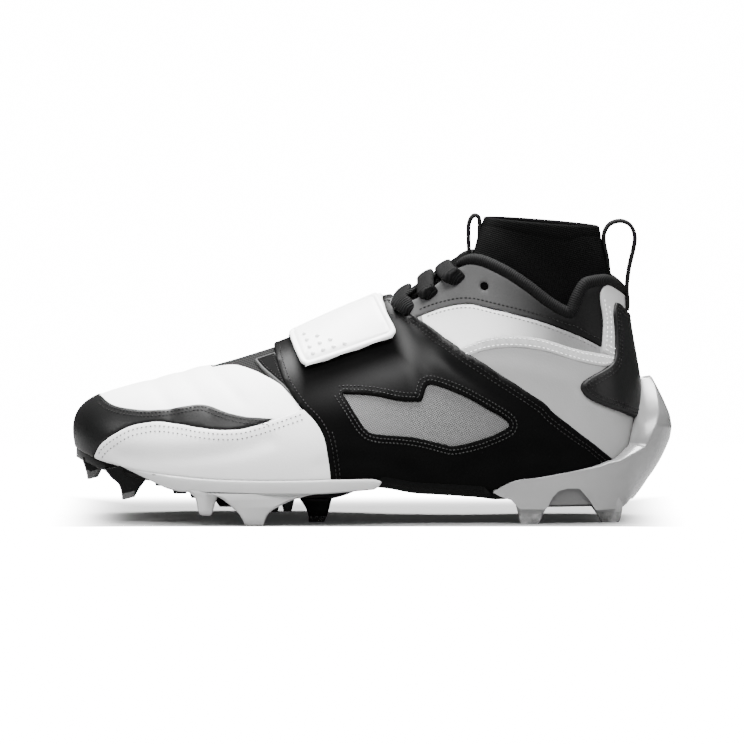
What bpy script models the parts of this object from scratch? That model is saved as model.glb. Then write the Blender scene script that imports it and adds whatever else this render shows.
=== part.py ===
"""American football cleat, left shoe, standing on its studs.

Metres, +Z up. The toe points to -X, the outer side of the foot faces -Y.
The upper is one function of two numbers: u runs round the foot from the toe along the
outer side to the heel and back along the inner side, v runs up a rib from the sole line.
Panels are thin shells of that same function, cut to their outlines as seen from the side.
"""

import bpy
import bmesh
import numpy as np

MM = 0.001

# Main sizes
LENGTH = 305 * MM
BALL_WIDTH = 105 * MM
HEEL_WIDTH = 71 * MM
SOLE_HEIGHT = 24.5 * MM
COLLAR_HEIGHT = 137.4 * MM
CUFF_HEIGHT = 155.2 * MM

# Thicknesses and clearances
WALL = 2.0 * MM
PANEL = 1.4 * MM
PATCH = 2.4 * MM
STRAP = 1.8 * MM
TAB = 2.6 * MM
PLATE = 4.2 * MM
INSOLE = 3.2 * MM
TONGUE = 2.8 * MM
CUFF_WALL = 2.4 * MM
ROLL = 4.8 * MM
LACE_WIDTH = 7.0 * MM
LACE_THICK = 2.6 * MM
WEBBING = 1.4 * MM
LOOP_WIDTH = 11.0 * MM
GAP = 0.3 * MM
SEAM = 0.4 * MM

# Mesh density
STATIONS = 58
RUNGS = 8

# The last, one row per rib from the toe to the heel. Columns, as shares:
# foot x of LENGTH, foot y outer and inner of the local width, foot z of SOLE_HEIGHT,
# top x of LENGTH, top y outer and inner of the local width, top z of COLLAR_HEIGHT,
# bulge of BALL_WIDTH, then rise, reach and fall of the rib's two handles.
RIBS = np.array([
    (-0.495, 0.086, 0.086, 1.49, -0.341, 0.057, 0.057, 0.521, 0.057, 0.70, 0.79, 0.23),
    (-0.480, -0.067, 0.233, 1.41, -0.328, 0.057, 0.057, 0.531, 0.052, 0.68, 0.74, 0.20),
    (-0.449, -0.190, 0.333, 1.27, -0.311, 0.057, 0.057, 0.544, 0.048, 0.62, 0.68, 0.15),
    (-0.400, -0.290, 0.400, 1.13, -0.292, 0.052, 0.052, 0.557, 0.043, 0.56, 0.62, 0.10),
    (-0.338, -0.367, 0.443, 1.03, -0.269, 0.048, 0.048, 0.572, 0.038, 0.50, 0.58, 0.06),
    (-0.269, -0.424, 0.462, 0.96, -0.239, 0.038, 0.038, 0.590, 0.038, 0.45, 0.55, 0.03),
    (-0.197, -0.462, 0.462, 0.94, -0.197, 0.029, 0.029, 0.619, 0.038, 0.42, 0.54, 0.02),
    (-0.125, -0.486, 0.438, 0.95, -0.144, 0.019, 0.019, 0.659, 0.038, 0.38, 0.52, 0.02),
    (-0.052, -0.482, 0.382, 0.97, -0.085, 0.014, 0.014, 0.720, 0.038, 0.36, 0.50, 0.02),
    (0.013, -0.481, 0.343, 0.96, -0.026, 0.010, 0.010, 0.779, 0.038, 0.35, 0.48, 0.03),
    (0.066, -0.494, 0.335, 0.84, 0.034, 0.000, 0.000, 0.826, 0.038, 0.34, 0.46, 0.05),
    (0.108, -0.512, 0.344, 0.80, 0.066, -0.167, 0.167, 0.822, 0.038, 0.32, 0.42, 0.16),
    (0.151, -0.529, 0.366, 0.76, 0.101, -0.232, 0.232, 0.870, 0.043, 0.31, 0.36, 0.22),
    (0.187, -0.527, 0.394, 0.72, 0.138, -0.292, 0.292, 0.936, 0.048, 0.30, 0.30, 0.27),
    (0.220, -0.518, 0.408, 0.64, 0.170, -0.347, 0.347, 0.963, 0.052, 0.30, 0.24, 0.30),
    (0.256, -0.510, 0.423, 0.57, 0.210, -0.408, 0.401, 0.933, 0.057, 0.30, 0.16, 0.32),
    (0.292, -0.500, 0.437, 0.53, 0.252, -0.444, 0.430, 0.876, 0.057, 0.30, 0.10, 0.33),
    (0.328, -0.479, 0.437, 0.53, 0.295, -0.458, 0.437, 0.804, 0.062, 0.30, 0.06, 0.33),
    (0.361, -0.437, 0.408, 0.53, 0.331, -0.444, 0.415, 0.766, 0.071, 0.30, 0.04, 0.32),
    (0.390, -0.359, 0.345, 0.54, 0.357, -0.387, 0.366, 0.873, 0.090, 0.30, 0.02, 0.30),
    (0.411, -0.232, 0.239, 0.56, 0.389, -0.268, 0.261, 0.884, 0.124, 0.30, 0.00, 0.28),
    (0.423, 0.007, 0.007, 0.57, 0.421, 0.000, 0.000, 0.837, 0.171, 0.30, 0.00, 0.26),
])
HALF = len(RIBS) - 1
THROAT_ROW = 10
COLLAR_ROW = 14


def local_width(x):
    """The width that a share refers to, from ball width to heel width along the foot."""
    t = np.clip((x / LENGTH + 0.066) / 0.262, 0, 1)
    return BALL_WIDTH + (HEEL_WIDTH - BALL_WIDTH) * t * t * (3 - 2 * t)


def round_foot(outer, inner):
    """One column for the whole way round: outer rows, then inner rows back to the toe."""
    return np.concatenate([RIBS[:, outer], RIBS[-2:0:-1, inner]])


def along(values, s, tame):
    """A smooth periodic curve through the values. A tame one never overshoots them."""
    n = len(values)
    s = np.asarray(s, float) % n
    i = np.floor(s).astype(int) % n
    f = s - np.floor(s)
    ahead = np.roll(values, -1) - values
    behind = np.roll(ahead, 1)
    slope = (ahead + behind) / 2
    if tame:
        cap = 3 * np.minimum(abs(ahead), abs(behind))
        slope = np.where(ahead * behind <= 0, 0, np.sign(slope) * np.minimum(abs(slope), cap))
    a, b = values[i], values[(i + 1) % n]
    p, q = slope[i], slope[(i + 1) % n]
    return ((1 + 2 * f) * (1 - f) ** 2 * a + f * (1 - f) ** 2 * p
            + f * f * (3 - 2 * f) * b + f * f * (f - 1) * q)


FOOT_X = round_foot(0, 0) * LENGTH
FOOT_Y = round_foot(1, 2) * local_width(FOOT_X)
FOOT_Z = round_foot(3, 3) * SOLE_HEIGHT
TOP_X = round_foot(4, 4) * LENGTH
TOP_Y = round_foot(5, 6) * local_width(TOP_X)
TOP_Z = round_foot(7, 7) * COLLAR_HEIGHT
BULGE = round_foot(8, 8) * BALL_WIDTH
RISE, REACH, FALL = round_foot(9, 9), round_foot(10, 10), round_foot(11, 11)


def foot(s):
    """The sole line at rib number s, as x, y, z."""
    return np.stack([along(FOOT_X, s, False), along(FOOT_Y, s, False), along(FOOT_Z, s, False)], -1)


def outward(s):
    """The flat direction away from the foot at rib number s."""
    run = foot(s + 0.05) - foot(s - 0.05)
    out = np.stack([run[..., 1], -run[..., 0], 0 * run[..., 0]], -1)
    return out / np.linalg.norm(out, axis=-1, keepdims=True)


def skin(s, v):
    """A point of the upper's outer face at rib number s and share v of the way up it."""
    s, v = np.broadcast_arrays(np.asarray(s, float), np.asarray(v, float))
    low = foot(s)
    high = np.stack([along(TOP_X, s, True), along(TOP_Y, s, True), along(TOP_Z, s, True)], -1)
    tall = (high - low)[..., 2:]
    up = np.array([0, 0, 1.0])
    first = low + outward(s) * along(BULGE, s, True)[..., None] + up * tall * along(RISE, s, True)[..., None]
    second = (high + (low - high) * [1, 1, 0] * along(REACH, s, True)[..., None]
              - up * tall * along(FALL, s, True)[..., None])
    t = v[..., None]
    return (low * (1 - t) ** 3 + 3 * first * t * (1 - t) ** 2 + 3 * second * t * t * (1 - t) + high * t ** 3)


def normal(s, v):
    """The outward normal of the upper's outer face."""
    s, v = np.broadcast_arrays(np.asarray(s, float), np.asarray(v, float))

    def face(rib):
        e = 0.01
        w = np.clip(v, e, 1 - e)
        n = np.cross(skin(rib + e, w) - skin(rib - e, w), skin(rib, w + e) - skin(rib, w - e))
        return n / np.linalg.norm(n, axis=-1, keepdims=True)

    # On the closed ridge both sides share one normal.
    ridge = (v > 1 - 1e-6) & (np.minimum(s % (2 * HALF), -s % (2 * HALF)) <= THROAT_ROW)
    n = face(s) + np.where(ridge[..., None], face(-s), 0)
    return n / np.linalg.norm(n, axis=-1, keepdims=True)


# Scene
for old in list(bpy.data.objects):
    bpy.data.objects.remove(old)
cleat = bpy.data.collections.new("american_football_cleat")
cutters = bpy.data.collections.new("cutters")
bpy.context.scene.collection.children.link(cleat)
bpy.context.scene.collection.children.link(cutters)
home = bpy.data.objects.new("ground_centre", None)
cleat.objects.link(home)


def material(name, colour, roughness):
    m = bpy.data.materials.new(name)
    m.use_nodes = True
    shader = m.node_tree.nodes["Principled BSDF"]
    shader.inputs["Base Color"].default_value = (*colour, 1)
    shader.inputs["Roughness"].default_value = roughness
    return m


BLACK_LEATHER = material("black_leather", (0.02, 0.02, 0.02), 0.4)
WHITE_LEATHER = material("white_leather", (0.85, 0.85, 0.85), 0.5)
PALE_LEATHER = material("pale_leather", (0.6, 0.6, 0.6), 0.5)
GREY_LEATHER = material("grey_leather", (0.35, 0.35, 0.36), 0.5)
BLACK_KNIT = material("black_knit", (0.015, 0.015, 0.015), 0.9)
BLACK_PLATE = material("black_plate", (0.02, 0.02, 0.02), 0.35)
WHITE_PLATE = material("white_plate", (0.85, 0.85, 0.85), 0.3)
MILKY_PLATE = material("milky_plate", (0.5, 0.5, 0.5), 0.2)
WHITE_STRAP = material("white_strap", (0.8, 0.8, 0.8), 0.45)


def mesh_object(name, points, faces, skin_material, where=None):
    """A mesh with its faces turned outward. A piece is parented to the ground centre."""
    data = bpy.data.meshes.new(name)
    data.from_pydata([tuple(float(c) for c in p) for p in points], [], [tuple(map(int, f)) for f in faces])
    work = bmesh.new()
    work.from_mesh(data)
    bmesh.ops.remove_doubles(work, verts=work.verts, dist=0.00001)
    bmesh.ops.recalc_face_normals(work, faces=work.faces)
    work.to_mesh(data)
    work.free()
    obj = bpy.data.objects.new(name, data)
    (where or cleat).objects.link(obj)
    if where is cutters:
        obj.hide_render = True
        obj.display_type = "WIRE"
    obj.parent = home
    if skin_material:
        data.materials.append(skin_material)
    return obj


def boolean(obj, other, operation):
    cut = obj.modifiers.new(other.name, "BOOLEAN")
    cut.object = other
    cut.operation = operation
    cut.solver = "EXACT"
    return cut


def grid_faces(rows, columns, closed=False):
    """Triangles between neighbouring rows of points, the last row joined to the first if closed."""
    faces = []
    for i in range(rows if closed else rows - 1):
        k = (i + 1) % rows
        for j in range(columns - 1):
            a, b = i * columns + j, k * columns + j
            faces += [(a, b, b + 1), (a, b + 1, a + 1)]
    return faces


def open_surface(name, s_list, v_list, lift, skin_material, where=None, closed=False):
    """The upper's function between two ribs and two heights, lifted off by a clearance."""
    s, v = np.meshgrid(s_list, v_list, indexing="ij")
    if lift > 0:
        # A panel's lower edge stays clear of the plate it stands on.
        v = np.maximum(v, 0.012)
    points = (skin(s, v) + lift * normal(s, v)).reshape(-1, 3)
    obj = mesh_object(name, points, grid_faces(len(s_list), len(v_list), closed), skin_material, where)
    face = obj.data.polygons[0]
    nearest = np.argmin(np.linalg.norm(points - np.array(face.center), axis=1))
    if np.dot(np.array(face.normal), normal(s, v).reshape(-1, 3)[nearest]) < 0:
        obj.data.flip_normals()
    return obj


def thicken(obj, amount, outside):
    solid = obj.modifiers.new("wall", "SOLIDIFY")
    solid.thickness = amount
    solid.offset = 1 if outside else -1
    solid.use_rim = True
    return solid


def slab(name, s_list, off, low, high, skin_material, where=None):
    """A flat-sided body across the foot between outer and inner sole line, from low to high."""
    rungs = []
    for s in s_list:
        a = foot(s) + off * outward(s)
        b = foot(2 * HALF - s) + off * outward(2 * HALF - s)
        rungs.append((a, b) if np.linalg.norm(a - b) > 0.5 * MM else (a,))
    points, faces = [], []
    index = []
    for s, rung in zip(s_list, rungs):
        ends = []
        for p in rung:
            ends.append((len(points), len(points) + 1))
            points.append((p[0], p[1], low(s)))
            points.append((p[0], p[1], high(s)))
        index.append(ends)
    for a, b in zip(index, index[1:]):
        sides = ((0, 0), (-1, -1))
        for k in (0, 1):
            ring = [a[0][k], a[-1][k], b[-1][k], b[0][k]]
            faces.append([q for n, q in enumerate(ring) if q not in ring[:n]])
        for i, j in sides:
            faces.append([a[i][0], a[i][1], b[j][1], b[j][0]])
    for ends in (index[0], index[-1]):
        if len(ends) == 2:
            faces.append([ends[0][0], ends[0][1], ends[1][1], ends[1][0]])
    return mesh_object(name, points, faces, skin_material, where)


def frustum(name, low, high, skin_material=None, where=None):
    """A stud or lug between two rectangles. Each is centre x, y, z, size along x, size along y."""
    points = []
    for x, y, z, sx, sy in (low, high):
        for i, j in ((-1, -1), (1, -1), (1, 1), (-1, 1)):
            points.append((x + i * sx / 2, y + j * sy / 2, z))
    faces = [(0, 1, 2, 3), (4, 5, 6, 7), (0, 1, 5, 4), (1, 2, 6, 5), (2, 3, 7, 6), (3, 0, 4, 7)]
    return mesh_object(name, points, faces, skin_material, where)


def rib_at(x):
    """The outer rib number whose foot stands at x."""
    return float(np.interp(x, foot(np.linspace(0, HALF, 400))[:, 0], np.linspace(0, HALF, 400)))


# Upper: one open surface round the whole last, given its wall
EVERY = np.arange(STATIONS) * 2 * HALF / STATIONS
HEIGHTS = np.linspace(0, 1, RUNGS + 1)
upper = open_surface("upper", EVERY, HEIGHTS, 0, BLACK_KNIT, closed=True)
thicken(upper, WALL, outside=False)

# Insole: fills the foot of the shell with a clearance all round
half_round = EVERY[:STATIONS // 2 + 1]
insole = slab("insole", half_round, -(WALL + 2 * GAP),
              lambda s: foot(s)[2] + GAP, lambda s: foot(s)[2] + GAP + INSOLE, BLACK_KNIT)

# Outsole plate: toe to arch
ARCH_END = 0.205 * LENGTH
SPLIT = rib_at(ARCH_END)
front_ribs = np.append(half_round[half_round < SPLIT - 0.2], SPLIT)
outsole = slab("outsole", front_ribs, 1.2 * MM, lambda s: foot(s)[2] - GAP - PLATE, lambda s: foot(s)[2] - GAP,
               BLACK_PLATE)

# Black studs, one row each. Columns, as shares: base x, tip x, base and tip length of LENGTH,
# y outer, y inner of BALL_WIDTH, tip z of SOLE_HEIGHT, base and tip width of BALL_WIDTH.
BLACK_STUDS = [
    (-0.466, -0.470, 0.024, 0.016, -0.03, 0.19, 0.86, 0.09, 0.06),
    (-0.408, -0.405, 0.044, 0.026, -0.22, 0.32, 0.48, 0.10, 0.06),
    (-0.242, -0.242, 0.034, 0.022, -0.13, 0.18, 0.30, 0.10, 0.06),
    (-0.094, -0.093, 0.050, 0.026, -0.20, 0.18, 0.00, 0.12, 0.07),
]
for number, (base_x, tip_x, base_l, tip_l, y_out, y_in, tip_z, base_w, tip_w) in enumerate(BLACK_STUDS):
    for side, share in (("outer", y_out), ("inner", y_in)):
        y = share * BALL_WIDTH
        top = foot(rib_at(base_x * LENGTH))[2] - GAP - 0.5 * PLATE
        stud = frustum(f"black_stud_{number}_{side}",
                       (tip_x * LENGTH, y, tip_z * SOLE_HEIGHT, tip_l * LENGTH, tip_w * BALL_WIDTH),
                       (base_x * LENGTH, y, top, base_l * LENGTH, base_w * BALL_WIDTH), None, cutters)
        boolean(outsole, stud, "UNION")

# Outlines as seen from the outer side. Columns, as shares: x of LENGTH, z of COLLAR_HEIGHT.
TOE_LINE = [
    (-0.456, 0.456), (-0.430, 0.427), (-0.393, 0.416), (-0.361, 0.416), (-0.318, 0.429),
    (-0.287, 0.439), (-0.270, 0.435), (-0.245, 0.415), (-0.212, 0.399), (-0.187, 0.396),
    (-0.160, 0.392),
]
SIDE_LINE = [
    (-0.462, 0.247), (-0.453, 0.285), (-0.436, 0.318), (-0.404, 0.356), (-0.372, 0.372),
    (-0.351, 0.375), (-0.319, 0.368), (-0.287, 0.356), (-0.251, 0.349), (-0.223, 0.352),
    (-0.196, 0.365), (-0.161, 0.389), (-0.111, 0.427),
]
KNIT_LINE = [
    (-0.275, 0.560), (-0.269, 0.571), (-0.234, 0.583), (-0.217, 0.579), (-0.194, 0.564),
    (-0.168, 0.536), (-0.149, 0.512), (-0.120, 0.440),
]
SADDLE_FRONT = [
    (-0.197, 0.801), (-0.160, 0.645), (-0.120, 0.473), (-0.096, 0.380), (-0.083, 0.323),
    (-0.074, 0.237), (-0.071, 0.176), (-0.071, 0.000),
]
SADDLE_REAR = [
    (0.007, 0.902), (0.030, 0.835), (0.077, 0.761), (0.148, 0.651), (0.179, 0.607),
    (0.281, 0.460), (0.306, 0.409), (0.365, 0.305), (0.400, 0.239), (0.446, 0.146),
    (0.466, 0.000),
]
WINDOW = [
    (-0.049, 0.481), (0.000, 0.475), (0.043, 0.456), (0.072, 0.452), (0.083, 0.456),
    (0.091, 0.505), (0.098, 0.515), (0.128, 0.496), (0.160, 0.465), (0.192, 0.427),
    (0.224, 0.384), (0.228, 0.365), (0.220, 0.349), (0.181, 0.314), (0.138, 0.292),
    (0.121, 0.297), (0.091, 0.314), (0.053, 0.328), (0.006, 0.337), (-0.011, 0.356),
    (-0.026, 0.403),
]
EYESTAY_LINE = [
    (0.030, 0.835), (0.077, 0.761), (0.109, 0.800), (0.141, 0.822), (0.167, 0.824),
    (0.201, 0.807), (0.281, 0.759), (0.344, 0.701), (0.382, 0.654),
]
HEEL_LINE = [
    (0.382, 0.654), (0.384, 0.746), (0.379, 0.849), (0.392, 0.894), (0.413, 0.961),
]
PATCH_LINE = [
    (0.407, 0.812), (0.439, 0.737), (0.492, 0.721), (0.492, 0.569), (0.463, 0.568),
    (0.458, 0.495), (0.448, 0.422), (0.440, 0.382), (0.412, 0.409), (0.365, 0.456),
    (0.348, 0.493), (0.348, 0.518), (0.358, 0.539), (0.388, 0.576), (0.400, 0.612),
    (0.401, 0.696), (0.399, 0.784),
]
CUP_LINE = [
    (0.202, 0.126), (0.238, 0.164), (0.277, 0.176), (0.330, 0.197), (0.368, 0.216),
    (0.398, 0.237), (0.441, 0.342), (0.451, 0.422), (0.460, 0.495), (0.466, 0.560),
]
TAB_LINE = [
    (-0.137, 0.721), (-0.137, 0.681), (-0.118, 0.590), (-0.106, 0.580), (0.035, 0.686),
    (0.041, 0.707), (0.007, 0.859),
]
FAR = 0.6
LOW = -0.1
HIGH = 1.3


def inset(outline, amount):
    """The outline pulled in by an amount all round, as x and z in metres."""
    p = np.array(outline) * [LENGTH, COLLAR_HEIGHT]
    ahead, behind = np.roll(p, -1, 0) - p, p - np.roll(p, 1, 0)
    turn = np.sign(np.sum(p[:, 0] * np.roll(p[:, 1], -1) - np.roll(p[:, 0], -1) * p[:, 1]))
    sides = []
    for run in (ahead, behind):
        run = run / np.linalg.norm(run, axis=1, keepdims=True)
        sides.append(turn * np.stack([-run[:, 1], run[:, 0]], -1))
    lean = sides[0] + sides[1]
    lean = lean / np.maximum(np.sum(lean * sides[0], axis=1, keepdims=True), 0.35)
    return p + amount * lean


def prism(name, outline, amount=SEAM / 2, side=0):
    """A cutter through the shoe from side to side, or through its outer (-1) or inner (1) half."""
    p = inset(outline, amount)
    near, far = {0: (-1, 1), -1: (-1, 0.01), 1: (-0.01, 1)}[side]
    count = len(p)
    points = [(x, y * BALL_WIDTH, z) for y in (near, far) for x, z in p]
    faces = [tuple(range(count)), tuple(range(count, 2 * count))]
    faces += [(i, (i + 1) % count, count + (i + 1) % count, count + i) for i in range(count)]
    return mesh_object(name, points, faces, None, cutters)


def panel(name, s_from, s_to, v_from, v_to, outline, skin_material, level=0, thick=PANEL, side=0,
          closed=False):
    """A shell of the upper's function at a level above it, cut to an outline."""
    v_list = HEIGHTS[(HEIGHTS > v_from - 1 / RUNGS) & (HEIGHTS < v_to + 1 / RUNGS)]
    if closed:
        s_list = EVERY
    else:
        step = 2 * HALF / STATIONS
        s_list = np.arange(np.floor(s_from / step), np.ceil(s_to / step) + 1) * step
    lift = GAP + level * (PANEL + GAP)
    obj = open_surface(name, s_list, v_list, lift, skin_material, closed=closed)
    thicken(obj, thick, outside=True)
    boolean(obj, prism(name + "_outline", outline, side=side), "INTERSECT")
    return obj


toe_outline = TOE_LINE + SIDE_LINE[-3::-1] + [(-0.462, LOW), (-FAR, LOW), (-FAR, 0.456)]
toe_cap = panel("toe_cap", -8.5, 8.5, 0, 0.7, toe_outline, BLACK_LEATHER)

side_outline = SIDE_LINE + SADDLE_FRONT[3:] + [(-0.071, LOW), (-0.462, LOW)]
for word, sign in (("lateral", -1), ("medial", 1)):
    s_from, s_to = (0.5, 10) if sign < 0 else (2 * HALF - 10, 2 * HALF - 0.5)
    panel("side_panel_" + word, s_from, s_to, 0, 0.7, side_outline, PALE_LEATHER, side=sign)

vamp_outline = TOE_LINE[::-1] + [(-0.456, HIGH), (-0.275, HIGH)] + KNIT_LINE + [(-0.124, 0.416)]
vamp = panel("vamp", -9.5, 9.5, 0.3, 1, vamp_outline, WHITE_LEATHER)

saddle_outline = SADDLE_FRONT + [(-0.071, LOW), (0.466, LOW)] + SADDLE_REAR[::-1] + [(0.007, HIGH), (-0.197, HIGH)]
saddle = panel("saddle", 0, 0, 0, 1, saddle_outline, BLACK_LEATHER, closed=True)
boolean(saddle, prism("window", WINDOW, 0), "DIFFERENCE")

quarter_outline = (EYESTAY_LINE[1:] + [(0.400, 0.625), (FAR, 0.625), (FAR, LOW), (0.466, LOW)]
                   + SADDLE_REAR[:2:-1])
quarter = panel("quarter", 10.5, 2 * HALF - 10.5, 0, 1, quarter_outline, PALE_LEATHER)

heel_outline = HEEL_LINE + [(0.413, HIGH), (FAR, HIGH), (FAR, 0.628), (0.400, 0.628)]
heel_overlay = panel("heel_overlay", 18, 24, 0.5, 1, heel_outline, PALE_LEATHER)

eyestay_outline = EYESTAY_LINE[:0:-1] + [(0.052, 0.800), (0.052, HIGH), (0.413, HIGH)] + HEEL_LINE[:0:-1]
for word, sign in (("lateral", -1), ("medial", 1)):
    s_from, s_to = (10.4, 20.6) if sign < 0 else (2 * HALF - 20.6, 2 * HALF - 10.4)
    panel("eyestay_" + word, s_from, s_to, 0.4, 1, eyestay_outline, GREY_LEATHER, side=sign)

heel_patch = panel("heel_patch", 17.5, 24.5, 0.2, 1, PATCH_LINE, BLACK_LEATHER, level=1)

# Strap over the instep: the outer end sits under the tab, the inner end runs down to its anchor
STRAP_OUTER = [(-0.137, HIGH)] + TAB_LINE[1:-1] + [(-0.080, HIGH)]
STRAP_INNER = [(-0.137, HIGH), (-0.137, 0.60), (-0.100, 0.33), (0.045, 0.33), (0.060, 0.66), (-0.080, HIGH)]
strap = panel("strap", 0, 0, 0.2, 1, STRAP_OUTER, WHITE_STRAP, level=1, thick=STRAP, side=-1, closed=True)
boolean(bpy.data.objects["strap_outline"], prism("strap_inner_outline", STRAP_INNER, side=1), "UNION")

TAB_LIFT = 3 * GAP + PANEL + STRAP
TAB_OUTER = [(-0.137, HIGH)] + TAB_LINE[1:-1] + [(-0.080, HIGH)]
tab_ribs = EVERY[(EVERY > 5) & (EVERY < 12.5)]
strap_tab = open_surface("strap_tab", tab_ribs, HEIGHTS[3:], TAB_LIFT, WHITE_STRAP)
thicken(strap_tab, TAB, outside=True)
tab_cut = prism("strap_tab_outline", TAB_OUTER, SEAM, side=-1)
tab_cut.location.y = -0.06 * BALL_WIDTH
boolean(strap_tab, tab_cut, "INTERSECT")


def shell_between(name, inner, outer, skin_material, where=None):
    """A closed body between two grids of points."""
    rows, columns = inner.shape[:2]
    count = rows * columns
    faces = grid_faces(rows, columns) + [tuple(count + k for k in f[::-1]) for f in grid_faces(rows, columns)]
    rim = ([(i, 0) for i in range(rows)] + [(rows - 1, j) for j in range(1, columns)]
           + [(i, columns - 1) for i in range(rows - 2, -1, -1)] + [(0, j) for j in range(columns - 2, 0, -1)])
    for (i, j), (k, m) in zip(rim, rim[1:] + rim[:1]):
        a, b = i * columns + j, k * columns + m
        faces.append((a, b, count + b, count + a))
    return mesh_object(name, np.concatenate([inner.reshape(-1, 3), outer.reshape(-1, 3)]), faces,
                       skin_material, where)


def loft(name, rings, skin_material=None, where=None):
    """A closed body through rings of points, capped at both ends."""
    rings = np.array(rings)
    rows, count = rings.shape[:2]
    faces = [tuple(range(count)), tuple((rows - 1) * count + k for k in range(count))]
    for i in range(rows - 1):
        for k in range(count):
            m = (k + 1) % count
            faces.append((i * count + k, i * count + m, (i + 1) * count + m, (i + 1) * count + k))
    return mesh_object(name, rings.reshape(-1, 3), faces, skin_material, where)


def stud(name, levels, where=cutters):
    """A stud through rectangles, top first. Each is x from, x to, y, width, z, in metres."""
    rings = [[(a, y - w / 2, z), (b, y - w / 2, z), (b, y + w / 2, z), (a, y + w / 2, z)] for a, b, y, w, z in levels]
    return loft(name, rings, None, where)


# Edge rails under the ball. Columns, as shares: x of LENGTH, underside z of SOLE_HEIGHT.
RAIL_LINE = np.array([(-0.318, 0.70), (-0.293, 0.61), (-0.197, 0.62), (-0.106, 0.64), (-0.074, 0.66), (0.011, 0.74)])
# Rail studs, top rectangle to tip. Columns: x from and x to of LENGTH, z of SOLE_HEIGHT, width of BALL_WIDTH.
RAIL_STUDS = {
    "fore": [(-0.298, -0.258, 0.66, 0.13), (-0.293, -0.264, 0.40, 0.10), (-0.290, -0.267, 0.18, 0.075)],
    "ball": [(-0.252, -0.118, 0.68, 0.14), (-0.228, -0.165, 0.32, 0.11), (-0.211, -0.180, 0.0, 0.08)],
}
RAIL_OUT = 4.8 * MM
for word, sign in (("lateral", -1), ("medial", 1)):
    first, last = rib_at(RAIL_LINE[0, 0] * LENGTH), rib_at(RAIL_LINE[-1, 0] * LENGTH)
    rings = []
    for s in np.concatenate([[first], EVERY[(EVERY > first + 0.2) & (EVERY < last - 0.2)], [last]]):
        s = s if sign < 0 else 2 * HALF - s
        base, out = foot(s), outward(s)
        under = np.interp(base[0] / LENGTH, RAIL_LINE[:, 0], RAIL_LINE[:, 1]) * SOLE_HEIGHT
        top, shelf = base[2] - 1.0 * MM, min(under + 3 * MM, base[2] - 2 * GAP - PLATE)
        profile = [(RAIL_OUT - 0.6 * MM, top), (RAIL_OUT, top - 1.5 * MM), (RAIL_OUT - 0.8 * MM, under),
                   (-11 * MM, under), (-11 * MM, shelf), (1.6 * MM, shelf), (1.6 * MM, top)]
        rings.append([(base[0] + o * out[0], base[1] + o * out[1], z) for o, z in profile])
    rail = loft(word + "_rail", rings, WHITE_PLATE)
    for kind, levels in RAIL_STUDS.items():
        middle = (levels[-1][0] + levels[-1][1]) / 2 * LENGTH
        s = rib_at(middle) if sign < 0 else 2 * HALF - rib_at(middle)
        edge = foot(s)[1] + sign * (RAIL_OUT - 1.2 * MM)
        stacked = [(a * LENGTH, b * LENGTH, edge - sign * w * BALL_WIDTH / 2, w * BALL_WIDTH, z * SOLE_HEIGHT)
                   for a, b, z, w in levels]
        boolean(rail, stud(f"{word}_{kind}_stud", stacked), "UNION")

# Heel plate and cup. Flare by height up the rib, and by rib number, as shares of the full flare.
CUP_LIFT = 2.5 * GAP + PANEL
CUP_WALL = 1.8 * MM
FLARE = 10.3 * MM
FLARE_UP = ([0, 0.15, 0.25, 0.33, 0.42, 0.5, 0.6, 0.7], [0.2, 0.5, 0.8, 1, 0.72, 0.45, 0.15, 0])
FLARE_ROUND = ([17, 18, 19, 20, 21], [0, 0.12, 0.35, 0.8, 1])
cup_first = rib_at(ARCH_END - 4 * MM)
cup_ribs = EVERY[(EVERY > cup_first) & (EVERY < 2 * HALF - cup_first)]
cup_ribs = np.concatenate([[cup_first], cup_ribs, [2 * HALF - cup_first]])
cup_heights = np.concatenate([[0], HEIGHTS[:7]])
s, v = np.meshgrid(cup_ribs, cup_heights, indexing="ij")
drop = np.zeros_like(s)
drop[:, 0] = 2.4 * MM
flare = FLARE * np.interp(v, *FLARE_UP) * np.interp(np.minimum(s, 2 * HALF - s), *FLARE_ROUND)
down = np.stack([0 * drop, 0 * drop, drop], -1)
inner = skin(s, v) + CUP_LIFT * normal(s, v) - down
outer = skin(s, v) + (CUP_LIFT + CUP_WALL + flare)[..., None] * normal(s, v) - down
heel_cup = shell_between("heel_cup", inner, outer, MILKY_PLATE)
boolean(heel_cup, prism("cup_outline", CUP_LINE + [(FAR, 0.560), (FAR, LOW), (0.202, LOW)], 0), "INTERSECT")
rear_first = rib_at(ARCH_END + 0.5 * MM)
rear_ribs = np.append(rear_first, half_round[half_round > rear_first + 0.2])
boolean(heel_cup, slab("heel_plate", rear_ribs, CUP_LIFT + 1.2 * MM, lambda s: foot(s)[2] - GAP - PLATE,
                       lambda s: foot(s)[2] - GAP, None, cutters), "UNION")
# Heel studs. Columns: x from and to of LENGTH, y of HEEL_WIDTH, width of HEEL_WIDTH, z of SOLE_HEIGHT.
HEEL_STUDS = {
    "front": [(0.222, 0.318, 0.43, 0.20, 0.46), (0.236, 0.290, 0.42, 0.17, 0.28), (0.245, 0.280, 0.40, 0.13, 0.0)],
    "rear": [(0.345, 0.418, 0.30, 0.20, 0.46), (0.368, 0.421, 0.31, 0.17, 0.28), (0.382, 0.415, 0.31, 0.13, 0.0)],
}
for kind, levels in HEEL_STUDS.items():
    for word, sign in (("outer", -1), ("inner", 1)):
        stacked = [(a * LENGTH, b * LENGTH, sign * y * HEEL_WIDTH, w * HEEL_WIDTH, z * SOLE_HEIGHT)
                   for a, b, y, w, z in levels]
        boolean(heel_cup, stud(f"heel_{kind}_{word}", stacked), "UNION")

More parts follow.
